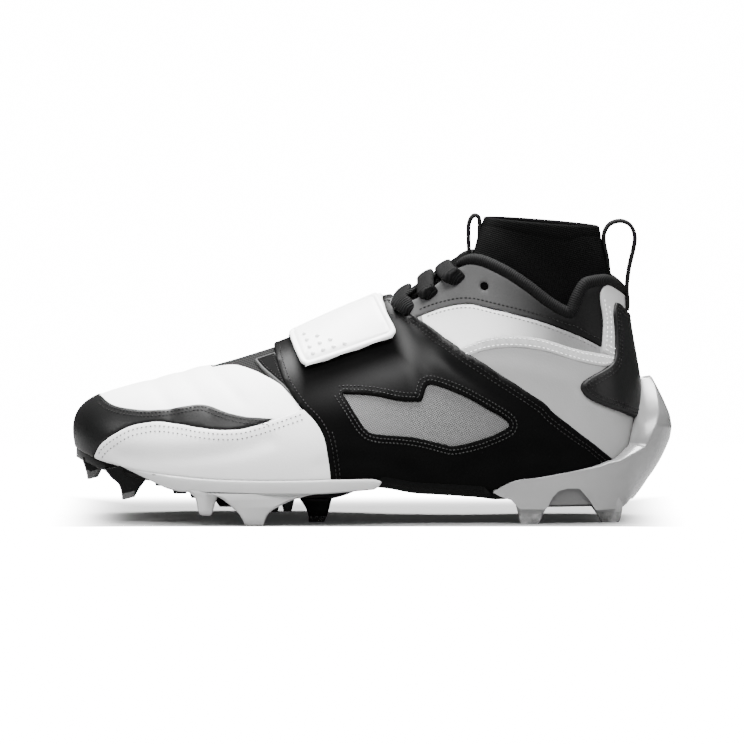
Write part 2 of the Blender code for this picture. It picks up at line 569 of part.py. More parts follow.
# Tongue: follows the inside of the upper at its edges and arches up through the throat
tongue_ribs = np.linspace(8.2, 13.3, 10)
CROWN = ([8, 10.8, 12.4, 14], [-5.2 * MM, -5.2 * MM, 4.5 * MM, 4.5 * MM])
TONGUE_LOW = ([8, 9.5, 11, 14], [0.68, 0.70, 0.88, 0.88])
TONGUE_LIFT = -(WALL + 9 * GAP)


def tongue_top(s, w):
    """A point of the tongue's upper face, w from -1 at the outer wall to 1 at the inner wall."""
    side = s if w < 0 else 2 * HALF - s
    low = np.interp(s, *TONGUE_LOW)
    reach = 0.94
    if abs(w) > 0.7:
        v = low + (reach - low) * (1 - abs(w)) / 0.3
        return skin(side, v) + TONGUE_LIFT * normal(side, v)
    a = skin(s, reach) + TONGUE_LIFT * normal(s, reach)
    b = skin(2 * HALF - s, reach) + TONGUE_LIFT * normal(2 * HALF - s, reach)
    t = w / 0.7
    point = (a + b) / 2 + (b - a) / 2 * t
    crest = skin(s, 1.0)[2] + np.interp(s, *CROWN)
    point[2] += (crest - (a[2] + b[2]) / 2) * (1 - abs(t) ** 2.4)
    return point


tongue_across = [-1, -0.85, -0.7, -0.45, -0.2, 0, 0.2, 0.45, 0.7, 0.85, 1]
tongue_points = np.array([[tongue_top(s, w) for w in tongue_across] for s in tongue_ribs])
tongue = mesh_object("tongue", tongue_points.reshape(-1, 3), grid_faces(len(tongue_ribs), len(tongue_across)),
                     BLACK_KNIT)
if sum(face.normal.z for face in tongue.data.polygons) < 0:
    tongue.data.flip_normals()
thicken(tongue, TONGUE, outside=False)


def topline(s):
    """The collar edge and the direction that leads straight away from it, up out of the wall."""
    edge, run = skin(s, 1.0), skin(s + 0.1, 1.0) - skin(s - 0.1, 1.0)
    run = run / np.linalg.norm(run)
    away = np.array([0, 0, 1.0]) - run[2] * run
    return edge, away / np.linalg.norm(away)


def tube(name, points, radius, skin_material):
    curve = bpy.data.curves.new(name, "CURVE")
    curve.dimensions = "3D"
    curve.bevel_depth = radius
    curve.bevel_resolution = 1
    curve.use_fill_caps = True
    line = curve.splines.new("POLY")
    line.points.add(len(points) - 1)
    for slot, p in zip(line.points, points):
        slot.co = (*p, 1)
    obj = bpy.data.objects.new(name, curve)
    cleat.objects.link(obj)
    obj.parent = home
    curve.materials.append(skin_material)
    return obj


# Collar roll: a round cord along the top edge from one eyestay to the other
ROLL_FIRST = 13.7
roll_path = []
for s in np.linspace(ROLL_FIRST, 2 * HALF - ROLL_FIRST, 32):
    edge, away = topline(s)
    roll_path.append(edge + away * (ROLL / 2 + 5 * GAP))
tube("collar_roll", roll_path, ROLL / 2, BLACK_KNIT)

# Cuff: a tube that stands in the collar. Its upper rings are ovals that lean with the photo.
CUFF_CENTRE = 0.285 * LENGTH
CUFF_LONG = 0.096 * LENGTH
CUFF_WIDE = 0.36 * HEEL_WIDTH
CUFF_SLOPE = -0.077
CUFF_IN = WALL + 5 * GAP
cuff_low = []
for s in np.linspace(ROLL_FIRST, 2 * HALF - ROLL_FIRST, 22):
    edge, n = skin(s, 1.0), normal(s, 1.0) * [1, 1, 0]
    cuff_low.append(edge - CUFF_IN * n / np.linalg.norm(n))
a, b = cuff_low[-1], cuff_low[0]
cuff_low = np.array(cuff_low + [a + (b - a) * t for t in (0.2, 0.4, 0.6, 0.8)])
angle = np.arctan2(cuff_low[:, 1], cuff_low[:, 0] - CUFF_CENTRE)
cuff_high = np.stack([CUFF_CENTRE + CUFF_LONG * np.cos(angle), CUFF_WIDE * np.sin(angle),
                      CUFF_HEIGHT + CUFF_SLOPE * CUFF_LONG * (1 + np.cos(angle))], -1)
share = np.array([0, 0.35, 0.7, 1])[:, None, None]
rings = cuff_low * (1 - share) + cuff_high * share
rings = np.concatenate([cuff_low[None] - [0, 0, 9 * MM], rings])
cuff_faces = []
for i in range(len(rings) - 1):
    for k in range(len(cuff_low)):
        m = (k + 1) % len(cuff_low)
        a, b = i * len(cuff_low), (i + 1) * len(cuff_low)
        cuff_faces.append((a + k, a + m, b + m, b + k))
cuff = mesh_object("cuff", rings.reshape(-1, 3), cuff_faces, BLACK_KNIT)
face = cuff.data.polygons[0]
if np.dot(np.array(face.normal)[:2], np.array(face.center)[:2] - [CUFF_CENTRE, 0]) < 0:
    cuff.data.flip_normals()
thicken(cuff, CUFF_WALL, outside=False)


def sweep(name, path, wide, width, thick, skin_material=None, where=None, sides=8):
    """A flat cord or band along a path, its width along the given direction."""
    path = np.array(path)
    runs = np.gradient(path, axis=0)
    wide = np.array(wide, float)
    rings = []
    for p, run in zip(path, runs):
        run = run / np.linalg.norm(run)
        w = wide - run * np.dot(wide, run)
        w = w / np.linalg.norm(w)
        n = np.cross(run, w)
        turn = np.arange(sides) * 2 * np.pi / sides + np.pi / sides
        scale = 1 / np.cos(np.pi / sides)
        rings.append([p + w * np.cos(q) * scale * width / 2 + n * np.sin(q) * scale * thick / 2 for q in turn])
    return loft(name, rings, skin_material, where)


# Pull loops of flat webbing, drawn from the side. Columns: x of LENGTH, z of CUFF_HEIGHT.
FRONT_LOOP = [(0.163, 0.893), (0.162, 0.940), (0.163, 0.978), (0.169, 1.001), (0.176, 1.003), (0.1805, 0.990),
              (0.1805, 0.972)]
REAR_LOOP = [(0.4045, 0.852), (0.3965, 0.900), (0.3925, 0.945), (0.400, 0.976), (0.417, 0.986), (0.431, 0.972),
             (0.438, 0.938), (0.437, 0.899), (0.4305, 0.812), (0.4305, 0.760), (0.438, 0.690)]
for name, line in (("front_loop", FRONT_LOOP), ("rear_loop", REAR_LOOP)):
    path = [(x * LENGTH, 0, z * CUFF_HEIGHT) for x, z in line]
    sweep(name, path, (0, 1, 0), LOOP_WIDTH, WEBBING, BLACK_KNIT, sides=4)

# Laces: three bars over the throat, joined by the crossings between them
BARS = [11.35, 12.25, 13.1]


def lace_point(s, w):
    """A point of a lace bar's middle line: w is -1 at the outer eyelet and 1 at the inner one."""
    side = s if w < 0 else 2 * HALF - s
    stay = GAP + PANEL + GAP + LACE_THICK / 2
    if abs(w) > 0.8:
        v = 0.935 + 0.065 * (1 - abs(w)) / 0.2
        p = skin(side, v) + (stay + 1.2 * MM) * normal(side, v)
        return p + np.array([0, 0, 2.4 * MM]) * (1 - abs(w)) / 0.2
    p = tongue_top(s, w * 0.55 / 0.8)
    edge = skin(side, 1.0)
    rise = GAP + LACE_THICK / 2 + 1.5 * MM
    p = p + np.array([0, 0, rise])
    lift = max(0, edge[2] + 3.8 * MM - p[2])
    return p + np.array([0, 0, lift])


lean = np.array([0.8, 0, 0.6])
ends = [-1, -0.9, -0.81, -0.7, -0.5, -0.2, 0.2, 0.5, 0.7, 0.81, 0.9, 1]
laces = sweep("laces", [lace_point(BARS[0], w) for w in ends], lean, LACE_WIDTH, LACE_THICK, BLACK_KNIT)
for number, s in enumerate(BARS[1:]):
    bar = sweep(f"lace_bar_{number}", [lace_point(s, w) for w in ends], lean, LACE_WIDTH, LACE_THICK, None, cutters)
    boolean(laces, bar, "UNION")
    steps = np.linspace(0, 1, 5)
    cross = [lace_point(BARS[number] + (s - BARS[number]) * q, -0.45 + 0.9 * q) + [0, 0, 0.6 * MM] for q in steps]
    link = sweep(f"lace_cross_{number}", cross, (0.7, -0.5, 0.5), 0.6 * LACE_WIDTH, LACE_THICK, None, cutters)
    boolean(laces, link, "UNION")

# Stand the shoe with the middle of its box over the origin and its studs at height 0
bpy.context.view_layer.update()
graph = bpy.context.evaluated_depsgraph_get()
low, high = np.full(3, np.inf), np.full(3, -np.inf)
for obj in cleat.objects:
    if obj.type == "EMPTY":
        continue
    solid = obj.evaluated_get(graph)
    shape = solid.to_mesh()
    corners = np.empty(len(shape.vertices) * 3, np.float32)
    shape.vertices.foreach_get("co", corners)
    corners = corners.reshape(-1, 3)
    low, high = np.minimum(low, corners.min(axis=0)), np.maximum(high, corners.max(axis=0))
    solid.to_mesh_clear()
home.location = (-(low[0] + high[0]) / 2, -(low[1] + high[1]) / 2, -low[2])
bpy.context.view_layer.update()
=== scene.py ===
# %% [markdown]
# # American football cleat, left shoe
#
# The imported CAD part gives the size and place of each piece. This script dresses it. Every leather
# panel is filled again on the same last, at a finer step, with rolled edges, creases and stitches.

import math

import bmesh
import bpy
import numpy as np
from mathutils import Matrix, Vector, geometry, kdtree


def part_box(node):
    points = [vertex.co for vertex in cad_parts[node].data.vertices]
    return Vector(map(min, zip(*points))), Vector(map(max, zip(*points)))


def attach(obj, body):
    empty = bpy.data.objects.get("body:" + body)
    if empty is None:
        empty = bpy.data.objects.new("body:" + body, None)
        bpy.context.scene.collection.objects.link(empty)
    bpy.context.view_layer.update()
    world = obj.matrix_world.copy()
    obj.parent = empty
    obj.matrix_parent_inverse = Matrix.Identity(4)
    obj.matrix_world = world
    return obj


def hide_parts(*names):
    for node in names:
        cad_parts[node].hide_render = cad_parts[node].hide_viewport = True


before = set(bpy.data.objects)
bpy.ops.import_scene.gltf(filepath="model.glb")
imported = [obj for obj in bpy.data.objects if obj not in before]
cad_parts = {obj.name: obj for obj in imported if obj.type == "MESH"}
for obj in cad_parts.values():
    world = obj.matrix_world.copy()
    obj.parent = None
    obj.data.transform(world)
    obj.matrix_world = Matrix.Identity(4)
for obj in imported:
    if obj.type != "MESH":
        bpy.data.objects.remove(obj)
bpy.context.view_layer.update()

# %% [markdown]
# ## The last
#
# A shoe upper is pulled over a last, so its form is the last's form. Each row is one rib, from the
# sole line up to the ridge or the collar edge, with three shape handles. Between rows the values
# follow a smooth curve, so the same table serves a coarse solid and a fine visible surface.

# %% The last as one table
MM = 0.001
LENGTH, BALL_WIDTH, HEEL_WIDTH = 305 * MM, 105 * MM, 71 * MM
SOLE_HEIGHT, COLLAR_HEIGHT, CUFF_HEIGHT = 24.5 * MM, 137.4 * MM, 155.2 * MM
WALL, PANEL, GAP = 2.0 * MM, 1.4 * MM, 0.3 * MM

# Columns: foot x, foot y outer and inner, foot z, top x, top y outer and inner, top z, bulge,
# rise, reach, fall. All are shares of the sizes above.
RIBS = np.array([
    (-0.495, 0.086, 0.086, 1.49, -0.341, 0.057, 0.057, 0.521, 0.057, 0.70, 0.79, 0.23),
    (-0.480, -0.067, 0.233, 1.41, -0.328, 0.057, 0.057, 0.531, 0.052, 0.68, 0.74, 0.20),
    (-0.449, -0.190, 0.333, 1.27, -0.311, 0.057, 0.057, 0.544, 0.048, 0.62, 0.68, 0.15),
    (-0.400, -0.290, 0.400, 1.13, -0.292, 0.052, 0.052, 0.557, 0.043, 0.56, 0.62, 0.10),
    (-0.338, -0.367, 0.443, 1.03, -0.269, 0.048, 0.048, 0.572, 0.038, 0.50, 0.58, 0.06),
    (-0.269, -0.424, 0.462, 0.96, -0.239, 0.038, 0.038, 0.590, 0.038, 0.45, 0.55, 0.03),
    (-0.197, -0.462, 0.462, 0.94, -0.197, 0.029, 0.029, 0.619, 0.038, 0.42, 0.54, 0.02),
    (-0.125, -0.486, 0.438, 0.95, -0.144, 0.019, 0.019, 0.659, 0.038, 0.38, 0.52, 0.02),
    (-0.052, -0.482, 0.382, 0.97, -0.085, 0.014, 0.014, 0.720, 0.038, 0.36, 0.50, 0.02),
    (0.013, -0.481, 0.343, 0.96, -0.026, 0.010, 0.010, 0.779, 0.038, 0.35, 0.48, 0.03),
    (0.066, -0.494, 0.335, 0.84, 0.034, 0.000, 0.000, 0.826, 0.038, 0.34, 0.46, 0.05),
    (0.108, -0.512, 0.344, 0.80, 0.066, -0.167, 0.167, 0.822, 0.038, 0.32, 0.42, 0.16),
    (0.151, -0.529, 0.366, 0.76, 0.101, -0.232, 0.232, 0.870, 0.043, 0.31, 0.36, 0.22),
    (0.187, -0.527, 0.394, 0.72, 0.138, -0.292, 0.292, 0.936, 0.048, 0.30, 0.30, 0.27),
    (0.220, -0.518, 0.408, 0.64, 0.170, -0.347, 0.347, 0.963, 0.052, 0.30, 0.24, 0.30),
    (0.256, -0.510, 0.423, 0.57, 0.210, -0.408, 0.401, 0.933, 0.057, 0.30, 0.16, 0.32),
    (0.292, -0.500, 0.437, 0.53, 0.252, -0.444, 0.430, 0.876, 0.057, 0.30, 0.10, 0.33),
    (0.328, -0.479, 0.437, 0.53, 0.295, -0.458, 0.437, 0.804, 0.062, 0.30, 0.06, 0.33),
    (0.361, -0.437, 0.408, 0.53, 0.331, -0.444, 0.415, 0.766, 0.071, 0.30, 0.04, 0.32),
    (0.390, -0.359, 0.345, 0.54, 0.357, -0.387, 0.366, 0.873, 0.090, 0.30, 0.02, 0.30),
    (0.411, -0.232, 0.239, 0.56, 0.389, -0.268, 0.261, 0.884, 0.124, 0.30, 0.00, 0.28),
    (0.423, 0.007, 0.007, 0.57, 0.421, 0.000, 0.000, 0.837, 0.171, 0.30, 0.00, 0.26),
])
HALF = len(RIBS) - 1
THROAT_ROW = 10

def local_width(x):
    t = np.clip((x / LENGTH + 0.066) / 0.262, 0, 1)
    return BALL_WIDTH + (HEEL_WIDTH - BALL_WIDTH) * t * t * (3 - 2 * t)

def round_foot(outer, inner):
    return np.concatenate([RIBS[:, outer], RIBS[-2:0:-1, inner]])

def along(values, s, tame):
    n = len(values)
    s = np.asarray(s, float) % n
    i = np.floor(s).astype(int) % n
    f = s - np.floor(s)
    ahead = np.roll(values, -1) - values
    behind = np.roll(ahead, 1)
    slope = (ahead + behind) / 2
    if tame:
        cap = 3 * np.minimum(abs(ahead), abs(behind))
        slope = np.where(ahead * behind <= 0, 0, np.sign(slope) * np.minimum(abs(slope), cap))
    a, b = values[i], values[(i + 1) % n]
    p, q = slope[i], slope[(i + 1) % n]
    return ((1 + 2 * f) * (1 - f) ** 2 * a + f * (1 - f) ** 2 * p
            + f * f * (3 - 2 * f) * b + f * f * (f - 1) * q)

FOOT_X = round_foot(0, 0) * LENGTH
FOOT_Y = round_foot(1, 2) * local_width(FOOT_X)
FOOT_Z = round_foot(3, 3) * SOLE_HEIGHT
TOP_X = round_foot(4, 4) * LENGTH
TOP_Y = round_foot(5, 6) * local_width(TOP_X)
TOP_Z = round_foot(7, 7) * COLLAR_HEIGHT
BULGE = round_foot(8, 8) * BALL_WIDTH
RISE, REACH, FALL = round_foot(9, 9), round_foot(10, 10), round_foot(11, 11)
SHIFT = np.zeros(3)

def foot(s):
    return np.stack([along(FOOT_X, s, False), along(FOOT_Y, s, False), along(FOOT_Z, s, False)], -1) + SHIFT

def outward(s):
    run = foot(s + 0.05) - foot(s - 0.05)
    out = np.stack([run[..., 1], -run[..., 0], 0 * run[..., 0]], -1)
    return out / np.linalg.norm(out, axis=-1, keepdims=True)

def skin(s, v):
    """The upper's outer face at rib number s and share v of the way up."""
    s, v = np.broadcast_arrays(np.asarray(s, float), np.asarray(v, float))
    low = foot(s)
    high = np.stack([along(TOP_X, s, True), along(TOP_Y, s, True), along(TOP_Z, s, True)], -1) + SHIFT
    tall = (high - low)[..., 2:]
    up = np.array([0, 0, 1.0])
    first = low + outward(s) * along(BULGE, s, True)[..., None] + up * tall * along(RISE, s, True)[..., None]
    second = (high + (low - high) * [1, 1, 0] * along(REACH, s, True)[..., None]
              - up * tall * along(FALL, s, True)[..., None])
    t = v[..., None]
    return low * (1 - t) ** 3 + 3 * first * t * (1 - t) ** 2 + 3 * second * t * t * (1 - t) + high * t ** 3

def normal(s, v):
    s, v = np.broadcast_arrays(np.asarray(s, float), np.asarray(v, float))

    def face(rib):
        e = 0.01
        w = np.clip(v, e, 1 - e)
        n = np.cross(skin(rib + e, w) - skin(rib - e, w), skin(rib, w + e) - skin(rib, w - e))
        return n / np.linalg.norm(n, axis=-1, keepdims=True)

    ridge = (v > 1 - 1e-6) & (np.minimum(s % (2 * HALF), -s % (2 * HALF)) <= THROAT_ROW)
    n = face(s) + np.where(ridge[..., None], face(-s), 0)
    return n / np.linalg.norm(n, axis=-1, keepdims=True)

# The CAD part was moved to stand over the origin, so the last moves with it.
low, high = (np.array(c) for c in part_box("upper"))
STATIONS, RUNGS = 58, 9
s_all, v_all = np.meshgrid(np.arange(STATIONS) * 2 * HALF / STATIONS, np.linspace(0, 1, RUNGS), indexing="ij")
cloud = skin(s_all, v_all).reshape(-1, 3)
SHIFT = (low + high) / 2 - (cloud.min(axis=0) + cloud.max(axis=0)) / 2
SHIFT[2] = low[2] - cloud[:, 2].min()
print("last moved by mm:", (SHIFT * 1000).round(2))

# %% [markdown]
# ## From the side view to the last
#
# Panel outlines are read in side view, as a pattern maker marks them on the last. Each point is
# carried to its rib and height by a short Newton search, then the panel is filled there.

# %% Side view points on the last
LOOK_S, LOOK_V = np.meshgrid(np.linspace(0, HALF, 340), np.linspace(0, 1, 120), indexing="ij")
LOOK = skin(LOOK_S, LOOK_V)
look_tree = kdtree.KDTree(LOOK_S.size)
for k, p in enumerate(LOOK.reshape(-1, 3)):
    look_tree.insert((p[0], 0, p[2]), k)
look_tree.balance()

def on_last(points):
    """Rib and height on the outer side for points given as x, z shares of LENGTH and COLLAR_HEIGHT."""
    points = np.array(points, float) * [LENGTH, COLLAR_HEIGHT] + SHIFT[[0, 2]]
    found = [look_tree.find((x, 0, z))[1] for x, z in points]
    s, v = LOOK_S.reshape(-1)[found].copy(), LOOK_V.reshape(-1)[found].copy()
    for _ in range(6):
        here = skin(s, v)[:, [0, 2]]
        ds = (skin(s + 0.01, v)[:, [0, 2]] - here) / 0.01
        dv = (skin(s, v + 0.004)[:, [0, 2]] - here) / 0.004
        miss = points - here
        det = ds[:, 0] * dv[:, 1] - ds[:, 1] * dv[:, 0]
        safe = abs(det) > 2e-5
        det = np.where(safe, det, 1)
        step_s = np.where(safe, (miss[:, 0] * dv[:, 1] - miss[:, 1] * dv[:, 0]) / det, 0)
        step_v = np.where(safe, (ds[:, 0] * miss[:, 1] - ds[:, 1] * miss[:, 0]) / det, 0)
        s = np.clip(s + np.clip(step_s, -0.3, 0.3), 0, HALF)
        v = np.clip(v + np.clip(step_v, -0.05, 0.05), 0, 1)
    return np.stack([s, v], -1)

def on_lifted(points, lift):
    """As on_last, for points that stand off the skin by a lift in metres."""
    want = np.array(points, float)
    sv = on_last(want)
    for _ in range(3):
        sv = on_last(want - (lift * normal(*sv.T))[:, [0, 2]] / [LENGTH, COLLAR_HEIGHT])
    return sv

def curve_point(a, b, c, d, t):
    """A point between b and c on a smooth curve that heeds their neighbours a and d."""
    return 0.5 * (2 * b + (c - a) * t + (2 * a - 5 * b + 4 * c - d) * t * t
                  + (3 * b - a - 3 * c + d) * t ** 3)

def smooth(line, step=1.1 * MM):
    """A dense smooth curve through a short list of side-view points."""
    p = np.array(line, float)
    ends = np.concatenate([[2 * p[0] - p[1]], p, [2 * p[-1] - p[-2]]])
    out = []
    for a, b, c, d in zip(ends, ends[1:], ends[2:], ends[3:]):
        count = max(2, int(np.linalg.norm((c - b) * [LENGTH, COLLAR_HEIGHT]) / step))
        for t in np.arange(count) / count:
            out.append(curve_point(a, b, c, d, t))
    return np.array(out + [p[-1]])

def other_side(sv, heel=False):
    """The same line on the inner side, walked the other way."""
    return np.stack([(2 * HALF - sv[:, 0]) if heel else -sv[:, 0], sv[:, 1]], -1)[::-1]

def lay(a, b, step=1.2 * MM):
    """A straight run between two points given as rib and height."""
    a, b = np.array(a, float), np.array(b, float)
    gap = np.linalg.norm(skin(*a) - skin(*((a + b) / 2))) + np.linalg.norm(skin(*((a + b) / 2)) - skin(*b))
    t = np.linspace(0, 1, max(2, int(gap / step)))[:, None]
    return a + (b - a) * t

def share(points):
    """Millimetres in side view turned into shares of length and collar height."""
    return [(x * MM / LENGTH, z * MM / COLLAR_HEIGHT) for x, z in points]

print("side view to last, worst miss in mm:",
      round(1000 * float(abs(skin(*on_last([(0.05, 0.5), (-0.3, 0.3)]).T)[:, 0] - SHIFT[0]
                             - np.array([0.05, -0.3]) * LENGTH).max()), 3))

# %% [markdown]
# ## Camera
#
# A product photo of a shoe is taken with a long lens, almost level, so the two ends keep the same
# scale. The camera comes first, so that every later step can be looked at from the same place.

# %% Camera
SENSOR, LENS, VIEW_WIDTH = 36, 400, 0.379

def set_camera(aim, elevation, width, lens):
    """A camera far enough off to see a width in metres at the point that it aims at."""
    data = bpy.data.cameras.new("product_camera")
    data.lens, data.sensor_width = lens, SENSOR
    eye = bpy.data.objects.new("product_camera", data)
    away = width * lens / SENSOR
    tilt = math.radians(elevation)
    eye.location = Vector(aim) + away * Vector((0, -math.cos(tilt), math.sin(tilt)))
    eye.rotation_euler = (math.radians(90) - tilt, 0, 0)
    bpy.context.scene.collection.objects.link(eye)
    bpy.context.scene.camera = eye
    return eye

set_camera((0.0022, -0.03, 0.0773), 3.5, VIEW_WIDTH, LENS)
print("camera stands off by m:", round(VIEW_WIDTH * LENS / SENSOR, 2))

# %% [markdown]
# ### Light and floor
#
# A large soft light above and a little behind, a long one over the lens and a weak one at each end
# shape the leather. The floor's white is painted light: it glows to the lens only, so it does not
# wash out the dark parts. The glow fades out in a drawn patch round the shoe, whose soft edges are
# painted shadow; inside it the floor is grey and takes the shoe's real shadow.

# %% Soft lights, white room and floor
def soft_light(name, place, aim, size, power, gloss=1.0):
    data = bpy.data.lights.new(name, "AREA")
    data.shape, data.size, data.size_y, data.energy = "RECTANGLE", size[0], size[1], power
    data.specular_factor = gloss
    lamp = bpy.data.objects.new(name, data)
    lamp.location = place
    lamp.rotation_euler = (Vector(aim) - Vector(place)).to_track_quat("-Z", "Y").to_euler()
    bpy.context.scene.collection.objects.link(lamp)

def math_node(tree, operation, a, b=None):
    node = tree.nodes.new("ShaderNodeMath")
    node.operation = operation
    for slot, value in zip(node.inputs, (a, b)):
        if isinstance(value, (int, float)):
            slot.default_value = value
        elif value is not None:
            tree.links.new(value, slot)
    return node.outputs[0]

def slow_step(tree, value, start, end):
    """A soft change from 0 to 1 between two values."""
    node = tree.nodes.new("ShaderNodeMapRange")
    node.interpolation_type = "SMOOTHSTEP"
    node.inputs["From Min"].default_value, node.inputs["From Max"].default_value = start, end
    tree.links.new(value, node.inputs["Value"])
    return node.outputs["Result"]

def pale_room(seen, cast):
    """A white room: one strength for what the lens sees behind the shoe, another for the light it casts."""
    world = bpy.data.worlds.new("pale_room")
    world.use_nodes = True
    tree = world.node_tree
    wall = tree.nodes["Background"]
    wall.inputs["Color"].default_value = (1, 1, 1, 1)
    path = tree.nodes.new("ShaderNodeLightPath")
    mix = tree.nodes.new("ShaderNodeMix")
    mix.inputs["A"].default_value, mix.inputs["B"].default_value = cast, seen
    tree.links.new(path.outputs["Is Camera Ray"], mix.inputs["Factor"])
    tree.links.new(mix.outputs["Result"], wall.inputs["Strength"])
    bpy.context.scene.world = world

def pale_floor(shade, glow):
    """A matt floor whose painted glow is white to the lens but fades out in a drawn patch round the shoe: painted
    shadow edges round its real shadow.
    """
    data = bpy.data.meshes.new("studio_floor")
    data.from_pydata([(-4, -4, 0), (4, -4, 0), (4, 0.55, 0), (-4, 0.55, 0)], [], [(0, 1, 2, 3)])
    floor = bpy.data.objects.new("studio_floor", data)
    made = bpy.data.materials.new("studio_floor")
    made.use_nodes = True
    tree = made.node_tree
    shader = tree.nodes["Principled BSDF"]
    shader.inputs["Base Color"].default_value = (shade, shade, shade, 1)
    shader.inputs["Roughness"].default_value = 0.8
    shader.inputs["Specular IOR Level"].default_value = 0.1
    shader.inputs["Emission Color"].default_value = (1, 1, 1, 1)
    split = tree.nodes.new("ShaderNodeSeparateXYZ")
    tree.links.new(tree.nodes.new("ShaderNodeTexCoord").outputs["Object"], split.inputs["Vector"])
    # Painted shadow: the glow fades out over a drawn patch round the shoe, past its ends, behind it and in front of it.
    # A faint even painted glow stays inside the patch.
    ends = slow_step(tree, math_node(tree, "ABSOLUTE", split.outputs["X"]), 0.085, 0.168)
    behind = slow_step(tree, split.outputs["Y"], 0.020, 0.165)
    before = slow_step(tree, math_node(tree, "MULTIPLY", split.outputs["Y"], -1.0), 0.047, 0.053)
    painted_glow = math_node(tree, "MAXIMUM", math_node(tree, "MAXIMUM", ends, behind), before)
    path = tree.nodes.new("ShaderNodeLightPath")
    painted_glow = math_node(tree, "ADD", math_node(tree, "MULTIPLY", math_node(tree, "POWER", painted_glow, 6.0), glow), 0.03)
    to_lens = math_node(tree, "MULTIPLY", painted_glow, path.outputs["Is Camera Ray"])
    tree.links.new(to_lens, shader.inputs["Emission Strength"])
    data.materials.append(made)
    bpy.context.scene.collection.objects.link(floor)

soft_light("top_softbox", (0.0, 0.14, 1.10), (0, 0, 0), (1.0, 0.5), 92)
soft_light("front_softbox", (0.0, -0.75, 1.0), (0, 0, 0.06), (0.9, 0.4), 34, 0.15)
soft_light("toe_softbox", (-1.1, -0.5, 0.7), (-0.1, 0, 0.04), (0.4, 0.4), 9)
soft_light("side_softbox", (1.0, -0.45, 0.5), (0, 0, 0.06), (0.4, 0.6), 5)
pale_room(seen=16.0, cast=0.1)
pale_floor(0.22, 16.0)

# %% [markdown]
# ## Finishes
#
# Leather, knit and moulded plastic differ in grain as much as in colour. The grain is one node
# group, used again by each finish with its own scale and depth, and it reads the object's own
# coordinates, so the size of a pore is the same on every panel.

# %% Shared shader groups
def node_group(name, inputs, outputs):
    group = bpy.data.node_groups.new(name, "ShaderNodeTree")
    for label, kind, value in inputs:
        socket = group.interface.new_socket(label, in_out="INPUT", socket_type="NodeSocket" + kind)
        if value is not None:
            socket.default_value = value
    for label, kind in outputs:
        group.interface.new_socket(label, in_out="OUTPUT", socket_type="NodeSocket" + kind)
    return group, group.nodes.new("NodeGroupInput"), group.nodes.new("NodeGroupOutput")

def grain_group():
    """Pores and soft cloudiness of finished leather."""
    tree, given, out = node_group("leather_grain", [("Pores", "Float", 1100.0), ("Cloud", "Float", 45.0),
                                                    ("Relief", "Float", 1.0)],
                                  [("Height", "Float"), ("Tone", "Float")])
    where = tree.nodes.new("ShaderNodeTexCoord").outputs["Object"]
    cells = tree.nodes.new("ShaderNodeTexVoronoi")
    cells.feature = "SMOOTH_F1"
    soft = tree.nodes.new("ShaderNodeTexNoise")
    soft.inputs["Detail"].default_value = 5
    tree.links.new(where, cells.inputs["Vector"])
    tree.links.new(where, soft.inputs["Vector"])
    tree.links.new(given.outputs["Pores"], cells.inputs["Scale"])
    tree.links.new(given.outputs["Cloud"], soft.inputs["Scale"])
    height = math_node(tree, "MULTIPLY", cells.outputs["Distance"], given.outputs["Relief"])
    height = math_node(tree, "ADD", height, math_node(tree, "MULTIPLY", soft.outputs["Fac"], 1.2))
    tree.links.new(height, out.inputs["Height"])
    tree.links.new(soft.outputs["Fac"], out.inputs["Tone"])
    return tree

def weave_group():
    """Two crossing sets of threads, tilted in the side view."""
    tree, given, out = node_group("thread_weave", [("Pitch", "Float", 0.0011), ("Tilt", "Float", 0.3)],
                                  [("Height", "Float"), ("Tone", "Float")])
    where = tree.nodes.new("ShaderNodeTexCoord").outputs["Object"]
    turned = tree.nodes.new("ShaderNodeVectorRotate")
    turned.rotation_type = "Y_AXIS"
    split = tree.nodes.new("ShaderNodeSeparateXYZ")
    tree.links.new(where, turned.inputs["Vector"])
    tree.links.new(given.outputs["Tilt"], turned.inputs["Angle"])
    tree.links.new(turned.outputs["Vector"], split.inputs["Vector"])
    rate = math_node(tree, "DIVIDE", 6.2832, given.outputs["Pitch"])
    over = math_node(tree, "SINE", math_node(tree, "MULTIPLY", split.outputs["X"], rate))
    under = math_node(tree, "SINE", math_node(tree, "MULTIPLY", split.outputs["Z"], rate))
    height = math_node(tree, "ADD", math_node(tree, "MULTIPLY", over, under), 1.0)
    tree.links.new(math_node(tree, "MULTIPLY", height, 0.5), out.inputs["Height"])
    tree.links.new(math_node(tree, "MULTIPLY", height, 0.5), out.inputs["Tone"])
    return tree

def strand_group():
    """Braid that follows a cord: it reads the piece's own length and girth from its strand map."""
    tree, given, out = node_group("strand_braid", [("Pitch", "Float", 0.0016), ("Slant", "Float", 2.0)],
                                  [("Height", "Float"), ("Tone", "Float")])
    where = tree.nodes.new("ShaderNodeUVMap")
    where.uv_map = "strand"
    split = tree.nodes.new("ShaderNodeSeparateXYZ")
    tree.links.new(where.outputs["UV"], split.inputs["Vector"])
    rate = math_node(tree, "DIVIDE", 6.2832, given.outputs["Pitch"])
    fold = math_node(tree, "PINGPONG", math_node(tree, "MULTIPLY", split.outputs["Y"], 8.0), 1.0)
    turn = math_node(tree, "MULTIPLY", math_node(tree, "MULTIPLY", fold, given.outputs["Slant"]), 3.1416)
    far = math_node(tree, "MULTIPLY", split.outputs["X"], rate)
    wave = math_node(tree, "SINE", math_node(tree, "ADD", far, turn))
    edge = math_node(tree, "MULTIPLY", math_node(tree, "ADD", wave, 1.0), 0.5)
    tree.links.new(edge, out.inputs["Height"])
    tree.links.new(math_node(tree, "POWER", edge, 2.0), out.inputs["Tone"])
    return tree

GROUPS = {"leather": grain_group(), "weave": weave_group(), "strand": strand_group()}
print("shader groups:", [group.name for group in GROUPS.values()])

# %% [markdown]
# ### Plain finishes
#
# Each finish is one Principled shader. A group gives it two tones and a fine relief, and what is
# the same all over the surface sits on the shader's own sockets, where an export can read it.

